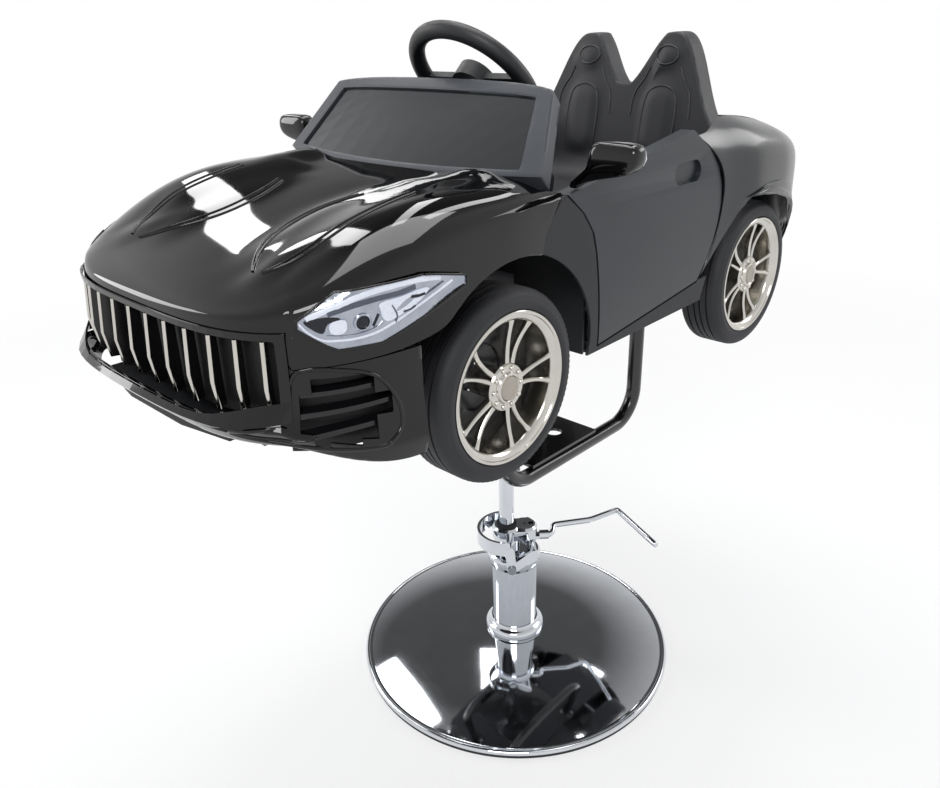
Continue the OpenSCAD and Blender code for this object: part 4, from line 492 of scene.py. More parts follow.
def spun(profile, steps, closed=False):
    # (radius, height) points turned round Z
    shape = bmesh.new()
    verts = [shape.verts.new((radius, 0, height)) for radius, height in profile]
    pairs = list(zip(verts, verts[1:])) + ([(verts[-1], verts[0])] if closed else [])
    edges = [shape.edges.new(pair) for pair in pairs]
    bmesh.ops.spin(shape, geom=verts + edges, cent=(0, 0, 0), axis=(0, 0, 1), angle=math.tau, steps=steps,
                   use_merge=True)
    bmesh.ops.remove_doubles(shape, verts=shape.verts, dist=1e-6)
    bmesh.ops.recalc_face_normals(shape, faces=shape.faces)
    return shape


def stepped(radius, height, section):
    # A section's (out, up) steps in mm, from a radius and a height
    return [(radius + out * mm, height + rise * mm) for out, rise in section]


def bridged(rings, capped=True):
    # Skins a row of rings; uncapped, the last ring meets the first
    shape = bmesh.new()
    loops = []
    for points in rings:
        verts = [shape.verts.new(point) for point in points]
        loops.append([shape.edges.new((verts[k - 1], verts[k])) for k in range(len(verts))])
    for near, far in zip(loops, loops[1:]):
        bmesh.ops.bridge_loops(shape, edges=near + far)
    if capped:
        bmesh.ops.edgeloop_fill(shape, edges=loops[0])
        bmesh.ops.edgeloop_fill(shape, edges=loops[-1])
    else:
        bmesh.ops.bridge_loops(shape, edges=loops[-1] + loops[0])
    bmesh.ops.recalc_face_normals(shape, faces=shape.faces)
    return shape


def addTo(whole, part):
    carrier = meshOf(part, "carrier")
    whole.from_mesh(carrier)
    bpy.data.meshes.remove(carrier)


def smoothLine(points, steps, closed=False):
    # Points along a curve through the given ones
    last = len(points) if closed else len(points) - 1
    line = []
    for k in range(last):
        a, b, c, d = (Vector(points[(k + n) % len(points)] if closed else points[min(max(k + n, 0), last)])
                      for n in (-1, 0, 1, 2))
        for step in range(steps):
            t = step / steps
            square = (2 * a - 5 * b + 4 * c - d) * t * t
            cube = (3 * b - a - 3 * c + d) * t ** 3
            line.append(0.5 * (2 * b + (c - a) * t + square + cube))
    return line if closed else line + [Vector(points[-1])]


def ribbon(line, outs, section, closed=False):
    # A moulding along a line: section points are (across, proud)
    rings = []
    for k, (here, out) in enumerate(zip(line, outs)):
        before = line[k - 1] if k or closed else line[0]
        after = line[(k + 1) % len(line)] if k + 1 < len(line) or closed else line[-1]
        across = (after - before).cross(out).normalized()
        rings.append([here + across * side + out * proud for side, proud in section])
    return bridged(rings, capped=not closed)


def bead(width, proud, sunk=meshForm["sunk"]):
    # Rounded section of a raised line
    half = width / 2
    near = half * 0.6
    low = proud * 0.8
    return [(-half, -sunk), (-half, 0), (-near, low), (0, proud), (near, low), (half, 0), (half, -sunk)]


def skinTree(*pieces):
    # Search tree over finished pieces, as they render
    graph = bpy.context.evaluated_depsgraph_get()
    shape = bmesh.new()
    for piece in pieces:
        shape.from_object(piece, graph)
    tree = BVHTree.FromBMesh(shape)
    shape.free()
    return tree


def laid(tree, start, way):
    # Where a ray meets the body, and which way the surface faces there
    hit, normal = tree.ray_cast(start, way)[:2]
    if hit is None:
        return None, None
    return hit, normal if normal.dot(way) < 0 else -normal


# Wheels: made about Z with the outside up, then turned on to the axle

wheelForm = {
    "steps": 192,
    "ribDepth": 1.4 * mm,
    "ribZone": 15 * mm,
    "ribReach": 7 * mm,
    "rimRadius": 100 * mm,
    "barrelRadius": 86 * mm,
    "seatRadius": 92 * mm,
    # Tyre sections: mm out from the rim or from the tread's radius, and mm past the half width
    "tyreFoot": [(0.4, -4), (1.2, -1.4), (3, -0.4), (8, 0)],
    "tyreShoulder": [(-15, 0), (-14, -0.9), (-10, -1.2), (-6.5, -2.8), (-3.6, -5.4), (-1.6, -8.6), (-0.5, -12)],
    "grooveShares": (0.52, 0.18),     # of the half width
    "grooveSection": [(0, 3), (0, 0), (-3, -0.6), (-3, -2.6), (0, -3.2)],
    # Rim: the back flange, then which radius, and mm out from it and past the half width
    "flange": 3.6 * mm,
    "rimSteps": 128,
    "rimLip": [("rimRadius", [(0, -0.9), (-0.8, -0.1), (-2.6, 0), (-4.2, -0.8), (-5, -2.4)]),
               ("seatRadius", [(-0.5, -3.4)]), ("barrelRadius", [(3.6, -5), (1.4, -7), (0, -10)])],
    "spokePairs": 5,
    "pairTurn": 0.25,          # of a pair's share of the circle
    "spokeSplit": 12.0,        # degrees each side of the pair's middle, at the rim
    "splitPower": 0.8,
    "spokeGap": 4.2 * mm,      # from the pair's middle to a spoke's, at the hub
    "spokeWidths": (7.6 * mm, 5.6 * mm),
    "spokeTaper": 1.4,
    "spokeFlare": 4 * mm,      # wider at the rim, over the last part of the spoke
    "flareFrom": 0.86,
    "spokeRows": 8,
    "spokeBack": 7.5 * mm,     # under the rim's face
    "spokeDish": 6 * mm,
    "spokeSides": [(-0.5, -7 * mm), (-0.5, -1.6 * mm), (-0.3, 0), (0.3, 0), (0.5, -1.6 * mm), (0.5, -7 * mm)],
    "intoHub": 4 * mm,
    "intoBarrel": 1.5 * mm,
    "hubRadius": 21 * mm,
    "hubBack": 5.6 * mm,
    "hubSteps": 64,
    "hubSection": [(0, -12), (9, -9), (10.5, -6), (9, -3.4), (0, -3), (-1.5, 0), (-4, 1.4), (-5.4, 0)],
    "nutCircle": 25.5 * mm,
    "nutRadius": 3.4 * mm,
    "nutSunk": 3 * mm,
    "nuts": 10,
    "capRadius": 15.5 * mm,
    "capBack": 5.8 * mm,
    "capSection": [(0, 0), (0, 1.6), (-1, 2.6), (-4, 3), (-5, 2.5)],
    "capCrown": 3.6 * mm,
    # Back plate: its place from the wheel's inside, and the brake ring's (radius, height) in mm
    "plateIn": 6 * mm,
    "plateGap": 0.4 * mm,
    "plateSteps": 96,
    "brakeRing": [(66, 3), (64, 6), (46, 6.6), (44, 3)],
}


def tyreShape(radius, half):
    form = wheelForm
    upper = stepped(form["rimRadius"], half, form["tyreFoot"]) + stepped(radius, half, form["tyreShoulder"])
    for share in form["grooveShares"]:
        upper += stepped(radius, share * half, form["grooveSection"])
    profile = upper + [(r, -z) for r, z in reversed(upper)]
    shape = spun(profile, form["steps"], closed=True)
    turn = math.tau / form["steps"]
    for vert in shape.verts:
        r = math.hypot(vert.co.x, vert.co.y)
        step = round(math.atan2(vert.co.y, vert.co.x) / turn)
        if step % 2 and r > radius - form["ribReach"] and abs(vert.co.z) > half - form["ribZone"]:
            vert.co.x *= (r - form["ribDepth"]) / r
            vert.co.y *= (r - form["ribDepth"]) / r
    return shape


def spokeShape(half, turnBy):
    form = wheelForm
    start = form["hubRadius"] - form["intoHub"]
    end = form["barrelRadius"] + form["intoBarrel"]
    wide, narrow = form["spokeWidths"]
    rings = []
    for k in range(form["spokeRows"] + 1):
        t = k / form["spokeRows"]
        r = start + t * (end - start)
        width = wide + (narrow - wide) * min(1, form["spokeTaper"] * t)
        width += form["spokeFlare"] * max(0, t - form["flareFrom"]) / (1 - form["flareFrom"])
        # The pair starts side by side at the hub and spreads to the rim
        lean = math.radians(turnBy) * t ** form["splitPower"]
        lean += math.copysign(form["spokeGap"] / r, turnBy) * (1 - t)
        face = half - form["spokeBack"] - form["spokeDish"] * math.sin(math.pi * min(1, t * 1.05)) ** 0.8
        centre = Vector((r * math.cos(lean), r * math.sin(lean), face))
        across = Vector((-math.sin(lean), math.cos(lean), 0)) * width
        rings.append([centre + across * side + Vector((0, 0, down)) for side, down in form["spokeSides"]])
    return bridged(rings)


def rimShape(half):
    form = wheelForm
    inner, seat, rim, flange = (form[key] for key in ("barrelRadius", "seatRadius", "rimRadius", "flange"))
    profile = [(inner, -half), (rim, -half), (rim, flange - half), (seat, flange - half), (seat, half - flange),
               (rim, half - flange)]
    for key, section in form["rimLip"]:
        profile += stepped(form[key], half, section)
    shape = spun(profile, form["rimSteps"], closed=True)
    for k in range(form["spokePairs"]):
        turn = Matrix.Rotation(math.tau * (k + form["pairTurn"]) / form["spokePairs"], 4, "Z")
        for side in (-1, 1):
            addTo(shape, moved(spokeShape(half, side * form["spokeSplit"]), turn))
    hub = form["hubRadius"]
    top = half - form["hubBack"]
    addTo(shape, spun([(0, -half * 0.6), (hub, -half * 0.6)] + stepped(hub, top, form["hubSection"]) + [(0, top)],
                      form["hubSteps"]))
    for k in range(form["nuts"]):
        nut = bmesh.new()
        bmesh.ops.create_uvsphere(nut, u_segments=14, v_segments=8, radius=form["nutRadius"])
        angle = math.tau * (k + 0.5) / form["nuts"]
        place = (form["nutCircle"] * math.cos(angle), form["nutCircle"] * math.sin(angle), top - form["nutSunk"])
        addTo(shape, moved(nut, Matrix.Translation(place)))
    return shape


def capShape(half):
    form = wheelForm
    low = half - form["capBack"]
    edge = stepped(form["capRadius"], low, form["capSection"])
    return spun([(0, low)] + edge + [(0, low + form["capCrown"])], form["hubSteps"])


def discShape(half):
    # Gloss back plate with a raised brake ring
    form = wheelForm
    low = form["plateIn"] - half
    hub = form["hubRadius"] - 1 * mm
    edge = form["barrelRadius"] - form["plateGap"]
    profile = [(hub, low), (edge, low), (edge, low + 2 * mm)] + stepped(0, low, form["brakeRing"])
    return spun(profile + [(hub, low + 2 * mm)], form["plateSteps"], closed=True)


def makeWheel(corner):
    tyre, rim = "tyre_" + corner, "rim_" + corner
    low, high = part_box(tyre)
    half = (high.x - low.x) / 2
    centre = (low + high) / 2
    steps = [Matrix.Rotation(math.pi / 2, 4, "Y")]
    if centre.x < 0:
        steps.append(Matrix.Scale(-1, 4, (1, 0, 0)))
    steps.append(Matrix.Translation(centre))
    remade(moved(tyreShape((high.z - low.z) / 2, half), *steps), tyre, "rubber", 48)
    remade(moved(rimShape(half), *steps), rim, "cast", 34)
    remade(moved(capShape(half), *steps), "hub_cap_" + corner, "disc")
    finishPiece(moved(discShape(half), *steps), "back_plate_" + corner, rim, "disc")


for corner in wheelCorners:
    makeWheel(corner)
print("wheels made")


# Foot and pump

footForm = {
    "steps": 256,
    "rolledEdge": 5 * mm,      # radius of the roll round the dome's edge
    "rollFrom": 50.0,          # degrees
    "rollTurn": 300,
    "rollPoints": 24,
    "domePower": 1.7,          # how late the dome falls towards its edge
    "points": 48,
    "holeGap": 0.4 * mm,
    "sheet": 2.5 * mm,
    "turnedSteps": 128,
    "boreGap": 0.5 * mm,
    "collarSection": [(0, 5), (-0.8, 9), (-3, 12.6), (-6.4, 14.6), (-8, 15.4), (-10, 18)],    # mm in and up
    "tubeWall": 3 * mm,
    "bevels": {"pump_head": 1.2 * mm, "pedal_yoke": 0.9 * mm, "swivel_socket": 1.0 * mm, "cradle_plate": 0.8 * mm},
    "stroke": 15 * mm,         # of the pump's plunger
}


def radiusOf(node):
    # The node's radius, bottom and top
    low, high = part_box(node)
    return (high.x - low.x) / 2, low.z, high.z


def domeProfile():
    form = footForm
    outer, bottom, top = radiusOf("base_cover")
    hole = radiusOf("outer_tube")[0] + form["holeGap"]
    roll = form["rolledEdge"]
    rollZ = bottom + roll
    start = math.radians(180 - form["rollFrom"])
    edge = outer - roll - roll * math.cos(math.radians(form["rollFrom"]))
    edgeZ = rollZ + roll * math.sin(start)
    profile = []
    for k in range(form["points"]):
        t = k / form["points"]
        profile.append((hole + (edge - hole) * t, top + (edgeZ - top) * t ** form["domePower"]))
    for k in range(form["rollPoints"] + 1):
        angle = start - math.radians(form["rollTurn"]) * k / form["rollPoints"]
        profile.append((outer - roll + roll * math.cos(angle), rollZ + roll * math.sin(angle)))
    return [point for point in profile if point[1] >= bottom]


def turnedNode(node, points, kind="turned", angle=36, steps=footForm["turnedSteps"], closed=True):
    # Turned part on the node's own upright axis: (radius, height) in metres
    low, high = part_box(node)
    middle = (low + high) / 2
    shape = moved(spun(points, steps, closed), Matrix.Translation((middle.x, middle.y, 0)))
    return remade(shape, node, kind, angle)


def makeFoot():
    form = footForm
    cover = turnedNode("base_cover", domeProfile(), "dome", 50, form["steps"], closed=False)
    thickened(cover, form["sheet"])
    r, low, high = radiusOf("collar_ring")
    bore = radiusOf("outer_tube")[0] + form["boreGap"]
    turnedNode("collar_ring", [(bore, low), (r, low)] + stepped(r, low, form["collarSection"])
               + [(bore + 1.4 * mm, high), (bore, high)])
    r, low, high = radiusOf("outer_tube")
    bore = r - form["tubeWall"]
    turnedNode("outer_tube", [(bore, low), (r, low), (r, high - 1 * mm), (r - 1 * mm, high), (bore, high)])
    r, low, high = radiusOf("lift_rod")
    turnedNode("lift_rod", [(0, low), (r, low), (r, high), (0, high)], closed=False)
    for node, width in form["bevels"].items():
        bevelNode(node, width, 3)
    smoothNode("pedal_bar", turn=70)
    # The return spring under the plunger's head, as a copy of the node's own shape on a mesh of its own
    coil = remade(mergedCopy("plunger_spring"), "plunger_spring", "coil", 60)
    low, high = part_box("plunger_spring")
    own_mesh(coil)


makeFoot()
print("foot and pump finished")


# Body panels

skins = {node: smoothNode(node) for node in ("front_clip", "front_bumper", "rear_clip", "windscreen_frame", "seat")}
for node in ("door_left", "door_right", "dashboard"):
    bevelNode(node, 1.4 * mm, 3, 30)
print("body panels smoothed")


# Nose: w runs round the front, 0 in the middle, 1 at the corner, 2 at the side

noseForm = {
    "roundFrom": -330 * mm,
    "tip": -620 * mm,
    "halfWidth": 270 * mm,
    "square": 3.6,
    "rayFrom": 0.2,         # metres ahead of the skin
    "stray": 9 * mm,        # deeper than this, a ray went through an opening
}
noseTree = skinTree(skins["front_clip"], skins["front_bumper"])


def noseWall(w):
    # Upright wall of the rounded front at w, and the way it faces
    side = math.copysign(1, w)
    q = (w, -1) if abs(w) < 1 else (side, abs(w) - 2)
    power = noseForm["square"]
    size = (abs(q[0]) ** power + abs(q[1]) ** power) ** (1 / power)
    share = max(abs(q[0]), abs(q[1])) / size
    length = noseForm["roundFrom"] - noseForm["tip"]
    place = Vector((q[0] * share * noseForm["halfWidth"], noseForm["roundFrom"] + q[1] * share * length, 0))
    facing = Vector((q[0] / noseForm["halfWidth"], q[1] / length, 0)).normalized()
    return place, facing


def nosePoint(w, z, tree=None, proud=0.0):
    # A point on the front skin at w and height z; over an opening it keeps to the wall
    place, facing = noseWall(w)
    place = place + Vector((0, 0, z))
    hit, normal = laid(tree or noseTree, place + facing * noseForm["rayFrom"], -facing)
    if hit is None or (place - hit).dot(facing) > noseForm["stray"]:
        hit, normal = place, facing
    return hit + normal * proud, normal


def noseLine(points, steps, closed=False, tree=None, proud=0.0):
    # (w, z in mm) points to places and facings on the skin
    flat = smoothLine([(w, z * mm, 0) for w, z in points], steps, closed)
    pairs = [nosePoint(point.x, point.y, tree, proud) for point in flat]
    return [place for place, facing in pairs], [facing for place, facing in pairs]


def noseBead(name, points, width, proud, steps, closed=False, sides=(-1, 1)):
    whole = bmesh.new()
    for side in sides:
        line, outs = noseLine([(w * side, z) for w, z in points], steps, closed)
        addTo(whole, ribbon(line, outs, bead(width, proud), closed))
    finishPiece(whole, name, "front_bumper", "gloss", 60)


grilleForm = {
    "stripWidth": 5.6 * mm,
    "stripProud": 1.3 * mm,
    "slatWay": (0.9, -0.6),     # a blade at x faces (0.9 x, -0.6)
    "facing": 0.72,
    "slatReach": 12 * mm,       # points closer than this in x are on one blade
    "netBack": 15 * mm,
    "netMargin": 6 * mm,
    "netEnds": (-0.93, 0.93),
    "intakeBack": 17 * mm,
    "intakeEnds": (0.9, 1.56),
    "intakeHeights": (738 * mm, 838 * mm),
    "netWall": 2 * mm,
    # Outline of an intake and the line of the lip, in (w, z in mm)
    "rimOutline": [(0.61, 771), (0.93, 759), (1.36, 741), (1.45, 744), (1.5, 758), (1.49, 786), (1.39, 820),
                   (1.18, 835), (1.0, 835), (0.93, 812), (0.9, 786)],
    "rimWidth": 5 * mm,
    "rimProud": 2.2 * mm,
    "lipLine": [(-1.1, 765), (-0.6, 771), (0, 772), (0.6, 771), (1.1, 765)],
    "lipWidth": 2.4 * mm,
    "lipProud": 1.6 * mm,
}


def slatWay(x):
    across, ahead = grilleForm["slatWay"]
    return Vector((x * across, ahead, 0)).normalized()


def slatStrips():
    # Bright plated strip along the front edge of each grille blade
    form = grilleForm
    source = mergedCopy("grille_slats")
    hidden = [face for face in source.faces
              if face.normal.dot(slatWay(face.calc_center_median().x)) <= form["facing"]]
    bmesh.ops.delete(source, geom=hidden, context="FACES")
    columns = {}
    for vert in source.verts:
        near = [x for x in columns if abs(x - vert.co.x) < form["slatReach"]]
        columns.setdefault(near[-1] if near else vert.co.x, []).append(vert.co.copy())
    source.free()
    whole = bmesh.new()
    for points in columns.values():
        levels = {}
        for point in points:
            levels.setdefault(round(point.z, 4), []).append(point)
        line = [sum(levels[z], Vector()) / len(levels[z]) for z in sorted(levels)]
        if len(line) > 1:
            outs = [slatWay(line[0].x)] * len(line)
            addTo(whole, ribbon(line, outs, bead(form["stripWidth"], form["stripProud"])))
    finishPiece(whole, "grille_slats.strips", "grille_slats", "trim", 50)


def noseSheet(name, ends, heights, back):
    # A moulded net that follows the rounded front, set back from it
    rows = [heights[0] + (heights[1] - heights[0]) * k / 6 for k in range(7)]
    shape = bmesh.new()
    columns = []
    for k in range(33):
        place, facing = noseWall(ends[0] + (ends[1] - ends[0]) * k / 32)
        columns.append([shape.verts.new(place - facing * back + Vector((0, 0, z))) for z in rows])
    edges = [[shape.edges.new(pair) for pair in zip(column, column[1:])] for column in columns]
    for near, far in zip(edges, edges[1:]):
        bmesh.ops.bridge_loops(shape, edges=near + far)
    bmesh.ops.recalc_face_normals(shape, faces=shape.faces)
    thickened(finishPiece(shape, name, "front_bumper", "net"), grilleForm["netWall"])


def makeGrille():
    form = grilleForm
    slatStrips()
    low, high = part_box("grille_slats")
    margin = form["netMargin"]
    noseSheet("grille_net", form["netEnds"], (low.z - margin, high.z + margin), form["netBack"])
    for name, side in (("intake_back_left", 1), ("intake_back_right", -1)):
        noseSheet(name, [end * side for end in form["intakeEnds"]], form["intakeHeights"], form["intakeBack"])
    noseBead("intake_rims", form["rimOutline"], form["rimWidth"], form["rimProud"], 6, closed=True)
    noseBead("lip_line", form["lipLine"], form["lipWidth"], form["lipProud"], 10, sides=(1,))


makeGrille()
print("grille trimmed")


# Bonnet blades: fine double lines along the raised vents

bladeForm = {
    "tipY": -548 * mm,
    "length": 290 * mm,
    "midX": 136 * mm,
    "spread": 0.25,         # how far the middle line leans out, and how far it bows back in
    "bow": 0.24,
    "halfWidth": 52 * mm,
    "widthPower": 0.7,
    "endWidth": 22 * mm,
    "from": 0.015,
    "to": 0.66,
    "points": 40,
    # share of the half width, and width of each line
    "lines": [(1.08, 3.4 * mm), (0.86, 3.4 * mm * 0.7)],
    "lineProud": 1.7 * mm,
}
clipTree = skinTree(skins["front_clip"])


def onTop(tree, x, y):
    hit, normal = laid(tree, Vector((x, y, 1.5)), Vector((0, 0, -1)))
    return (hit, normal) if hit else (Vector((x, y, 0.9)), Vector((0, 0, 1)))


def bladeEdge(side, edge, share):
    form = bladeForm
    line, outs = [], []
    for k in range(form["points"] + 1):
        t = form["from"] + (form["to"] - form["from"]) * k / form["points"]
        centre = form["midX"] * (1 + form["spread"] * t - form["bow"] * math.sin(math.pi * t))
        width = form["halfWidth"] * math.sin(math.pi * t ** form["widthPower"]) + form["endWidth"] * t * t
        place, normal = onTop(clipTree, side * (centre + edge * width * share), form["tipY"] + t * form["length"])
        line.append(place)
        outs.append(normal)
    return line, outs


def bonnetBlades():
    whole = bmesh.new()
    for side in (-1, 1):
        for edge in (-1, 1):
            for share, width in bladeForm["lines"]:
                line, outs = bladeEdge(side, edge, share)
                addTo(whole, ribbon(line, outs, bead(width, bladeForm["lineProud"])))
    finishPiece(whole, "bonnet_blades", "front_clip", "gloss", 60)


bonnetBlades()
print("bonnet lines laid")


# Headlamps: clear lens over a reflector with a projector

lampForm = {
    "outward": (0.78, -0.6, 0.2),
    "skinShare": 0.15,     # faces that look at least this much outward make the lens
    "sunk": 2.3 * mm,      # depth of the inner parts under the lens face
    "seal": (2.6 * mm, 0.7 * mm),
    "projector": (1.359, 879.4),
    "projectorRadius": 6.8 * mm,
    "ringSection": [(0, -1), (2.6, -1), (2.6, 1.2), (1.8, 1.9), (0.6, 1.9), (0, 1)],
    "ballRise": 2 * mm,
    "ballSunk": 0.2 * mm,
    # finish, width and height in mm, and the line in (w, z in mm)
    "lines": [
        # The bright white lines are painted highlights standing in for the lens's reflections
        ("lampStrip", 2.4, 1.1, [(1.05, 886), (1.09, 877), (1.164, 867), (1.245, 864.4), (1.327, 863.4),
                                 (1.416, 865.4), (1.491, 871), (1.573, 879), (1.661, 888), (1.774, 900)]),
        ("reflector", 2.2, 1.2, [(1.19, 871), (1.264, 868.4), (1.352, 868), (1.416, 871), (1.447, 876)]),
        ("lampStrip", 5.6, 0.7, [(1.09, 890), (1.176, 896), (1.265, 901.4), (1.346, 906.6), (1.454, 910),
                                 (1.554, 911), (1.642, 910), (1.718, 907)]),
        ("lampShade", 5.6, 0.6, [(1.2, 893), (1.321, 898.4), (1.428, 901), (1.529, 902), (1.6, 904.6)]),
        ("lampDark", 2.8, 1.4, [(1.406, 873), (1.42, 879), (1.432, 884.5)]),
        ("lampShade", 1.8, 1.3, [(1.504, 872), (1.512, 880), (1.491, 891)]),
        ("lampDark", 3.2, 1.3, [(1.58, 895), (1.61, 893.8), (1.64, 894.6)]),
        ("lampDark", 2.2, 1.3, [(1.541, 881), (1.573, 882), (1.595, 884.4)]),
        ("lampShade", 1.6, 1.3, [(1.64, 893), (1.68, 897), (1.73, 902)]),
    ],
    # finish, height in mm, and the outline in (w, z in mm)
    "patches": [
        ("lampDark", 0.5, [(1.075, 887.6), (1.13, 889.6), (1.2, 890), (1.262, 886.6), (1.2, 883.4), (1.172, 874),
                           (1.12, 879)]),
        # The bright white patches are painted highlights standing in for the lens's reflections
        ("lampStrip", 0.9, [(1.204, 881), (1.225, 885), (1.28, 885), (1.285, 875), (1.255, 871), (1.212, 873)]),
        ("lampStrip", 0.5, [(1.44, 888), (1.44, 896), (1.53, 898), (1.62, 901), (1.66, 899), (1.62, 889),
                            (1.55, 880.6), (1.48, 875), (1.45, 879)]),
    ],
}


def lampSkin(node, outward):
    # Faces of the lamp's shell that look the given way
    shape = mergedCopy(node)
    away = [face for face in shape.faces if face.normal.dot(outward) < lampForm["skinShare"]]
    bmesh.ops.delete(shape, geom=away, context="FACES")
    loose = [vert for vert in shape.verts if not vert.link_faces]
    bmesh.ops.delete(shape, geom=loose, context="VERTS")
    toQuads(shape)
    return shape


def borderLine(shape):
    edges = {edge for edge in shape.edges if len(edge.link_faces) == 1}
    edge = min(edges, key=lambda e: e.index)
    first = edge.verts[0]
    vert = edge.other_vert(first)
    line = [first, vert]
    edges.discard(edge)
    while vert != first:
        following = [e for e in vert.link_edges if e in edges]
        if not following:
            break
        edges.discard(following[0])
        vert = following[0].other_vert(vert)
        line.append(vert)
    return [v.co.copy() for v in line[:-1]], [v.normal.copy() for v in line[:-1]]


def lampDetails(side, tree):
    # Reflector steps, bright strips of painted highlight, flat facets and the projector, each under its finish
    form = lampForm
    parts = {name: bmesh.new() for name in ("reflector", "lampShade", "lampDark", "lampStrip")}
    for finish, width, proud, points in form["lines"]:
        line, outs = noseLine([(w * side, z) for w, z in points], 6, False, tree, -form["sunk"])
        addTo(parts[finish], ribbon(line, outs, bead(width * mm, proud * mm, 0.4 * mm)))
    for finish, proud, points in form["patches"]:
        line, outs = noseLine([(w * side, z) for w, z in points], 3, True, tree, -form["sunk"])
        shape = parts[finish]
        facet = shape.faces.new([shape.verts.new(place + out * (proud * mm)) for place, out in zip(line, outs)])
        bmesh.ops.triangulate(shape, faces=[facet])
    w, z = form["projector"]
    place, facing = nosePoint(w * side, z * mm, tree, -form["sunk"])
    turn = facing.to_track_quat("Z", "Y").to_matrix().to_4x4()
    r = form["projectorRadius"]
    ring = spun(stepped(r, 0, form["ringSection"]), 48, closed=True)
    addTo(parts["reflector"], moved(ring, turn, Matrix.Translation(place)))
    angles = [math.pi / 16 * a for a in range(9)]
    ball = spun([(r * math.cos(a), form["ballRise"] * math.sin(a) - form["ballSunk"]) for a in angles], 40)
    addTo(parts["lampDark"], moved(ball, turn, Matrix.Translation(place)))
    return parts


def makeLamp(node, side):
    outward = Vector(lampForm["outward"])
    outward.x *= side
    outward.normalize()
    lens = lampSkin(node, outward)
    line, outs = borderLine(lens)
    rim = ribbon(line, outs, bead(*lampForm["seal"]), closed=True)
    cover = smoothed(remade(lens, node, "lens", 60), 2)
    bowl = lampSkin(node, -outward)
    bmesh.ops.reverse_faces(bowl, faces=bowl.faces)
    smoothed(finishPiece(bowl, node + ".reflector", node, "reflector", 60), 2)
    for finish, part in lampDetails(side, skinTree(cover)).items():
        finishPiece(part, f"{node}.{finish}", node, finish, 50)
    finishPiece(rim, node + ".seal", "front_clip", "gloss", 60)


makeLamp("headlamp_left", 1)
makeLamp("headlamp_right", -1)
print("headlamps made")


# Mirrors: a thick leaning foot that swells into the head

mirrorForm = {
    # height, inner x, outer x, front y, rear y, all in mm on the left door
    "rings": [(-1, 246, 257, -161, -145), (7, 248, 264, -163, -144), (16, 258, 296, -166, -144),
              (23, 270, 336, -170, -144), (33, 279, 348, -174, -143), (46, 281, 350, -174, -143),
              (55, 283, 348, -171, -144), (60, 290, 340, -166, -147)],
    "corner": 0.34,
    # The glass: its middle x, height, front and rear y, and (x, z) outline, in mm
    "glassX": 316,
    "glassZ": 41,
    "glassY": (-145.2, -142.6),
    "glass": [(-28, -10), (-30, 0), (-28, 9), (-20, 12), (20, 12), (28, 9), (30, 0), (26, -8), (18, -11), (-20, -12)],
}


def makeMirror(node, side):
    form = mirrorForm
    low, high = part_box(node)
    base = low.z / mm + 1
    rings = []
    for rise, x0, x1, y0, y1 in form["rings"]:
        z = min(base + rise, high.z / mm)
        cx, cy, hx, hy = (x0 + x1) / 2, (y0 + y1) / 2, (x1 - x0) / 2, (y1 - y0) / 2
        cut = form["corner"] * min(hx, hy)
        outline = [(hx, hy - cut), (hx - cut, hy), (0, hy), (cut - hx, hy), (-hx, hy - cut), (-hx, cut - hy),
                   (cut - hx, -hy), (0, -hy), (hx - cut, -hy), (hx, cut - hy)]
        rings.append([Vector(((cx + x) * side, cy + y, z)) * mm for x, y in outline])
    smoothed(remade(bridged(rings), node, "shell", 60), 2)
    middle, height = form["glassX"], base + form["glassZ"]
    glass = bridged([[Vector(((middle + x) * side, y, height + z)) * mm for x, z in form["glass"]]
                     for y in form["glassY"]])
    finishPiece(glass, node + ".glass", node, "chrome")


makeMirror("mirror_left", 1)
makeMirror("mirror_right", -1)
print("mirrors made")


# Seat details: pads, wings and piping on the moulded back, in mm

seatForm = {
    "padMiddle": 80,
    "lineWidth": 3.4 * mm,
    "lineProud": 1.4 * mm,
    "headHole": (22, 15, 1089),     # half width, half height, and height of its middle
    "padLine": [(-32, 935), (-33, 970), (-32, 1005), (-24, 1032), (0, 1041), (24, 1032), (32, 1005), (33, 970),
                (32, 935)],
    "wingLine": [(30, 1070), (38, 1052), (54, 1026), (58, 990)],
}
seatTree = skinTree(skins["seat"])


def seatPoint(x, z):
    hit, normal = laid(seatTree, Vector((x * mm, -0.05, z * mm)), Vector((0, 1, 0)))
    return (hit, normal) if hit else (Vector((x * mm, 0.3, z * mm)), Vector((0, -1, 0)))


def seatBead(whole, points, steps, closed=False):
    flat = smoothLine([(x, z, 0) for x, z in points], steps, closed)
    pairs = [seatPoint(point.x, point.y) for point in flat]
    section = bead(seatForm["lineWidth"], seatForm["lineProud"])
    addTo(whole, ribbon([place for place, out in pairs], [out for place, out in pairs], section, closed))


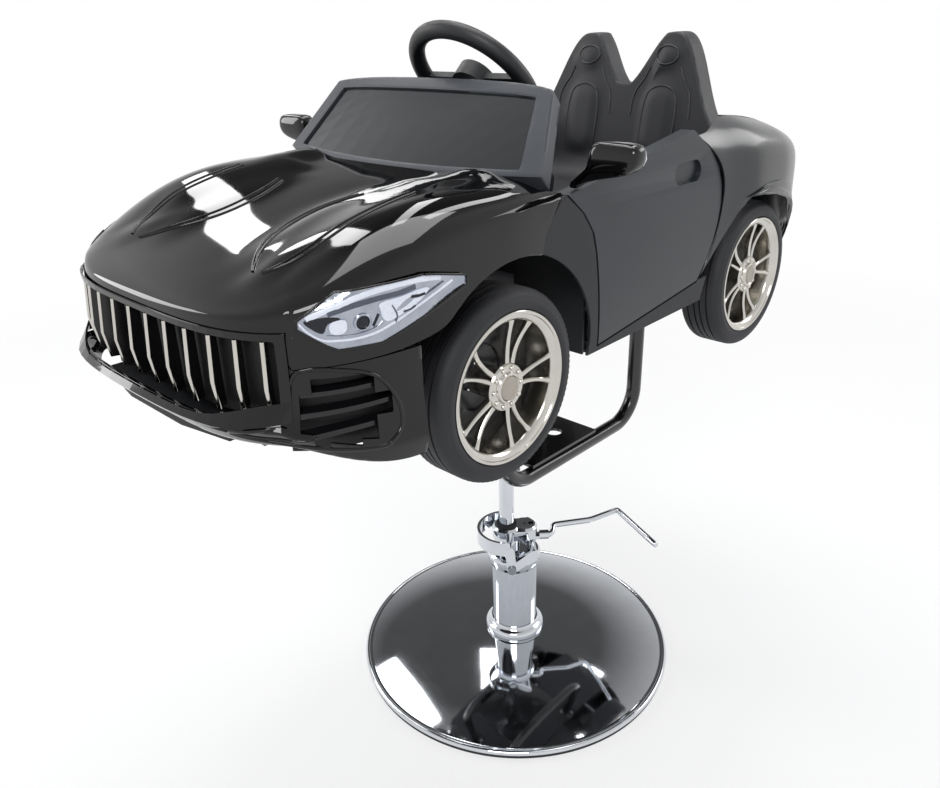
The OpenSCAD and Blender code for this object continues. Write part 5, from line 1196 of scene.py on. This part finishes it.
def seatLines():
    form = seatForm
    whole = bmesh.new()
    halfWidth, halfHeight, height = form["headHole"]
    for side in (-1, 1):
        middle = side * form["padMiddle"]
        turns = [math.tau / 12 * a for a in range(12)]
        oval = [(middle + halfWidth * math.cos(a), height + halfHeight * math.sin(a)) for a in turns]
        seatBead(whole, oval, 4, closed=True)
        seatBead(whole, [(middle + x, z) for x, z in form["padLine"]], 5)
        for wing in (-1, 1):
            seatBead(whole, [(middle + wing * x, z) for x, z in form["wingLine"]], 6)
    finishPiece(whole, "seat.piping", "seat", "seatEdge", 60)


seatLines()
print("seat detailed")


# Dials and the cabin's edges

dialForm = {
    "x": 62 * mm,
    "z": 941 * mm,
    "radius": 17 * mm,
    "sunk": 4 * mm,
    # (out from the radius, up) in mm
    "bezel": [(-2.4, -4), (0, -4), (0, 1.6), (-1, 2.4), (-2.4, 1.4)],
    "face": [(-2.2, -3), (-2.2, -0.6)],
    "ticks": 8,
    "tick": (0.9 * mm, 3.2 * mm, 0.6 * mm),
    "tickIn": 5.2 * mm,
    "tickSunk": 0.4 * mm,
    "tickFrom": 225,        # degrees
    "tickTurn": 270,
}
cabinBevels = {"steering_wheel": 1.2 * mm, "horn_button": 1 * mm, "chassis_tub": 1.2 * mm}


def makeDials():
    form = dialForm
    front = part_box("dashboard")[1].y
    bezel, face = bmesh.new(), bmesh.new()
    r = form["radius"]
    turn = Matrix.Rotation(-math.pi / 2, 4, "X")
    for side in (-1, 1):
        place = Matrix.Translation((form["x"] * side, front - form["sunk"], form["z"]))
        addTo(bezel, moved(spun(stepped(r, 0, form["bezel"]), 48, closed=True), turn, place))
        under, over = stepped(r, 0, form["face"])
        addTo(face, moved(spun([(0, under[1]), under, over, (0, over[1])], 48), turn, place))
        for k in range(form["ticks"] + 1):
            tick = bmesh.new()
            bmesh.ops.create_cube(tick, size=1)
            angle = math.radians(form["tickFrom"] - form["tickTurn"] * k / form["ticks"])
            addTo(bezel, moved(tick, Matrix.Diagonal((*form["tick"], 1)),
                               Matrix.Translation((0, r - form["tickIn"], -form["tickSunk"])),
                               Matrix.Rotation(angle - math.pi / 2, 4, "Z"), turn, place))
    finishPiece(bezel, "dial_bezels", "dashboard", "trim")
    finishPiece(face, "dial_faces", "dashboard", "lampDark")


makeDials()
for node, width in cabinBevels.items():
    bevelNode(node, width, 2, 34)
for node in ("cradle_tube_left", "cradle_tube_right"):
    smoothNode(node, turn=70, levels=1)
print("cabin trimmed")
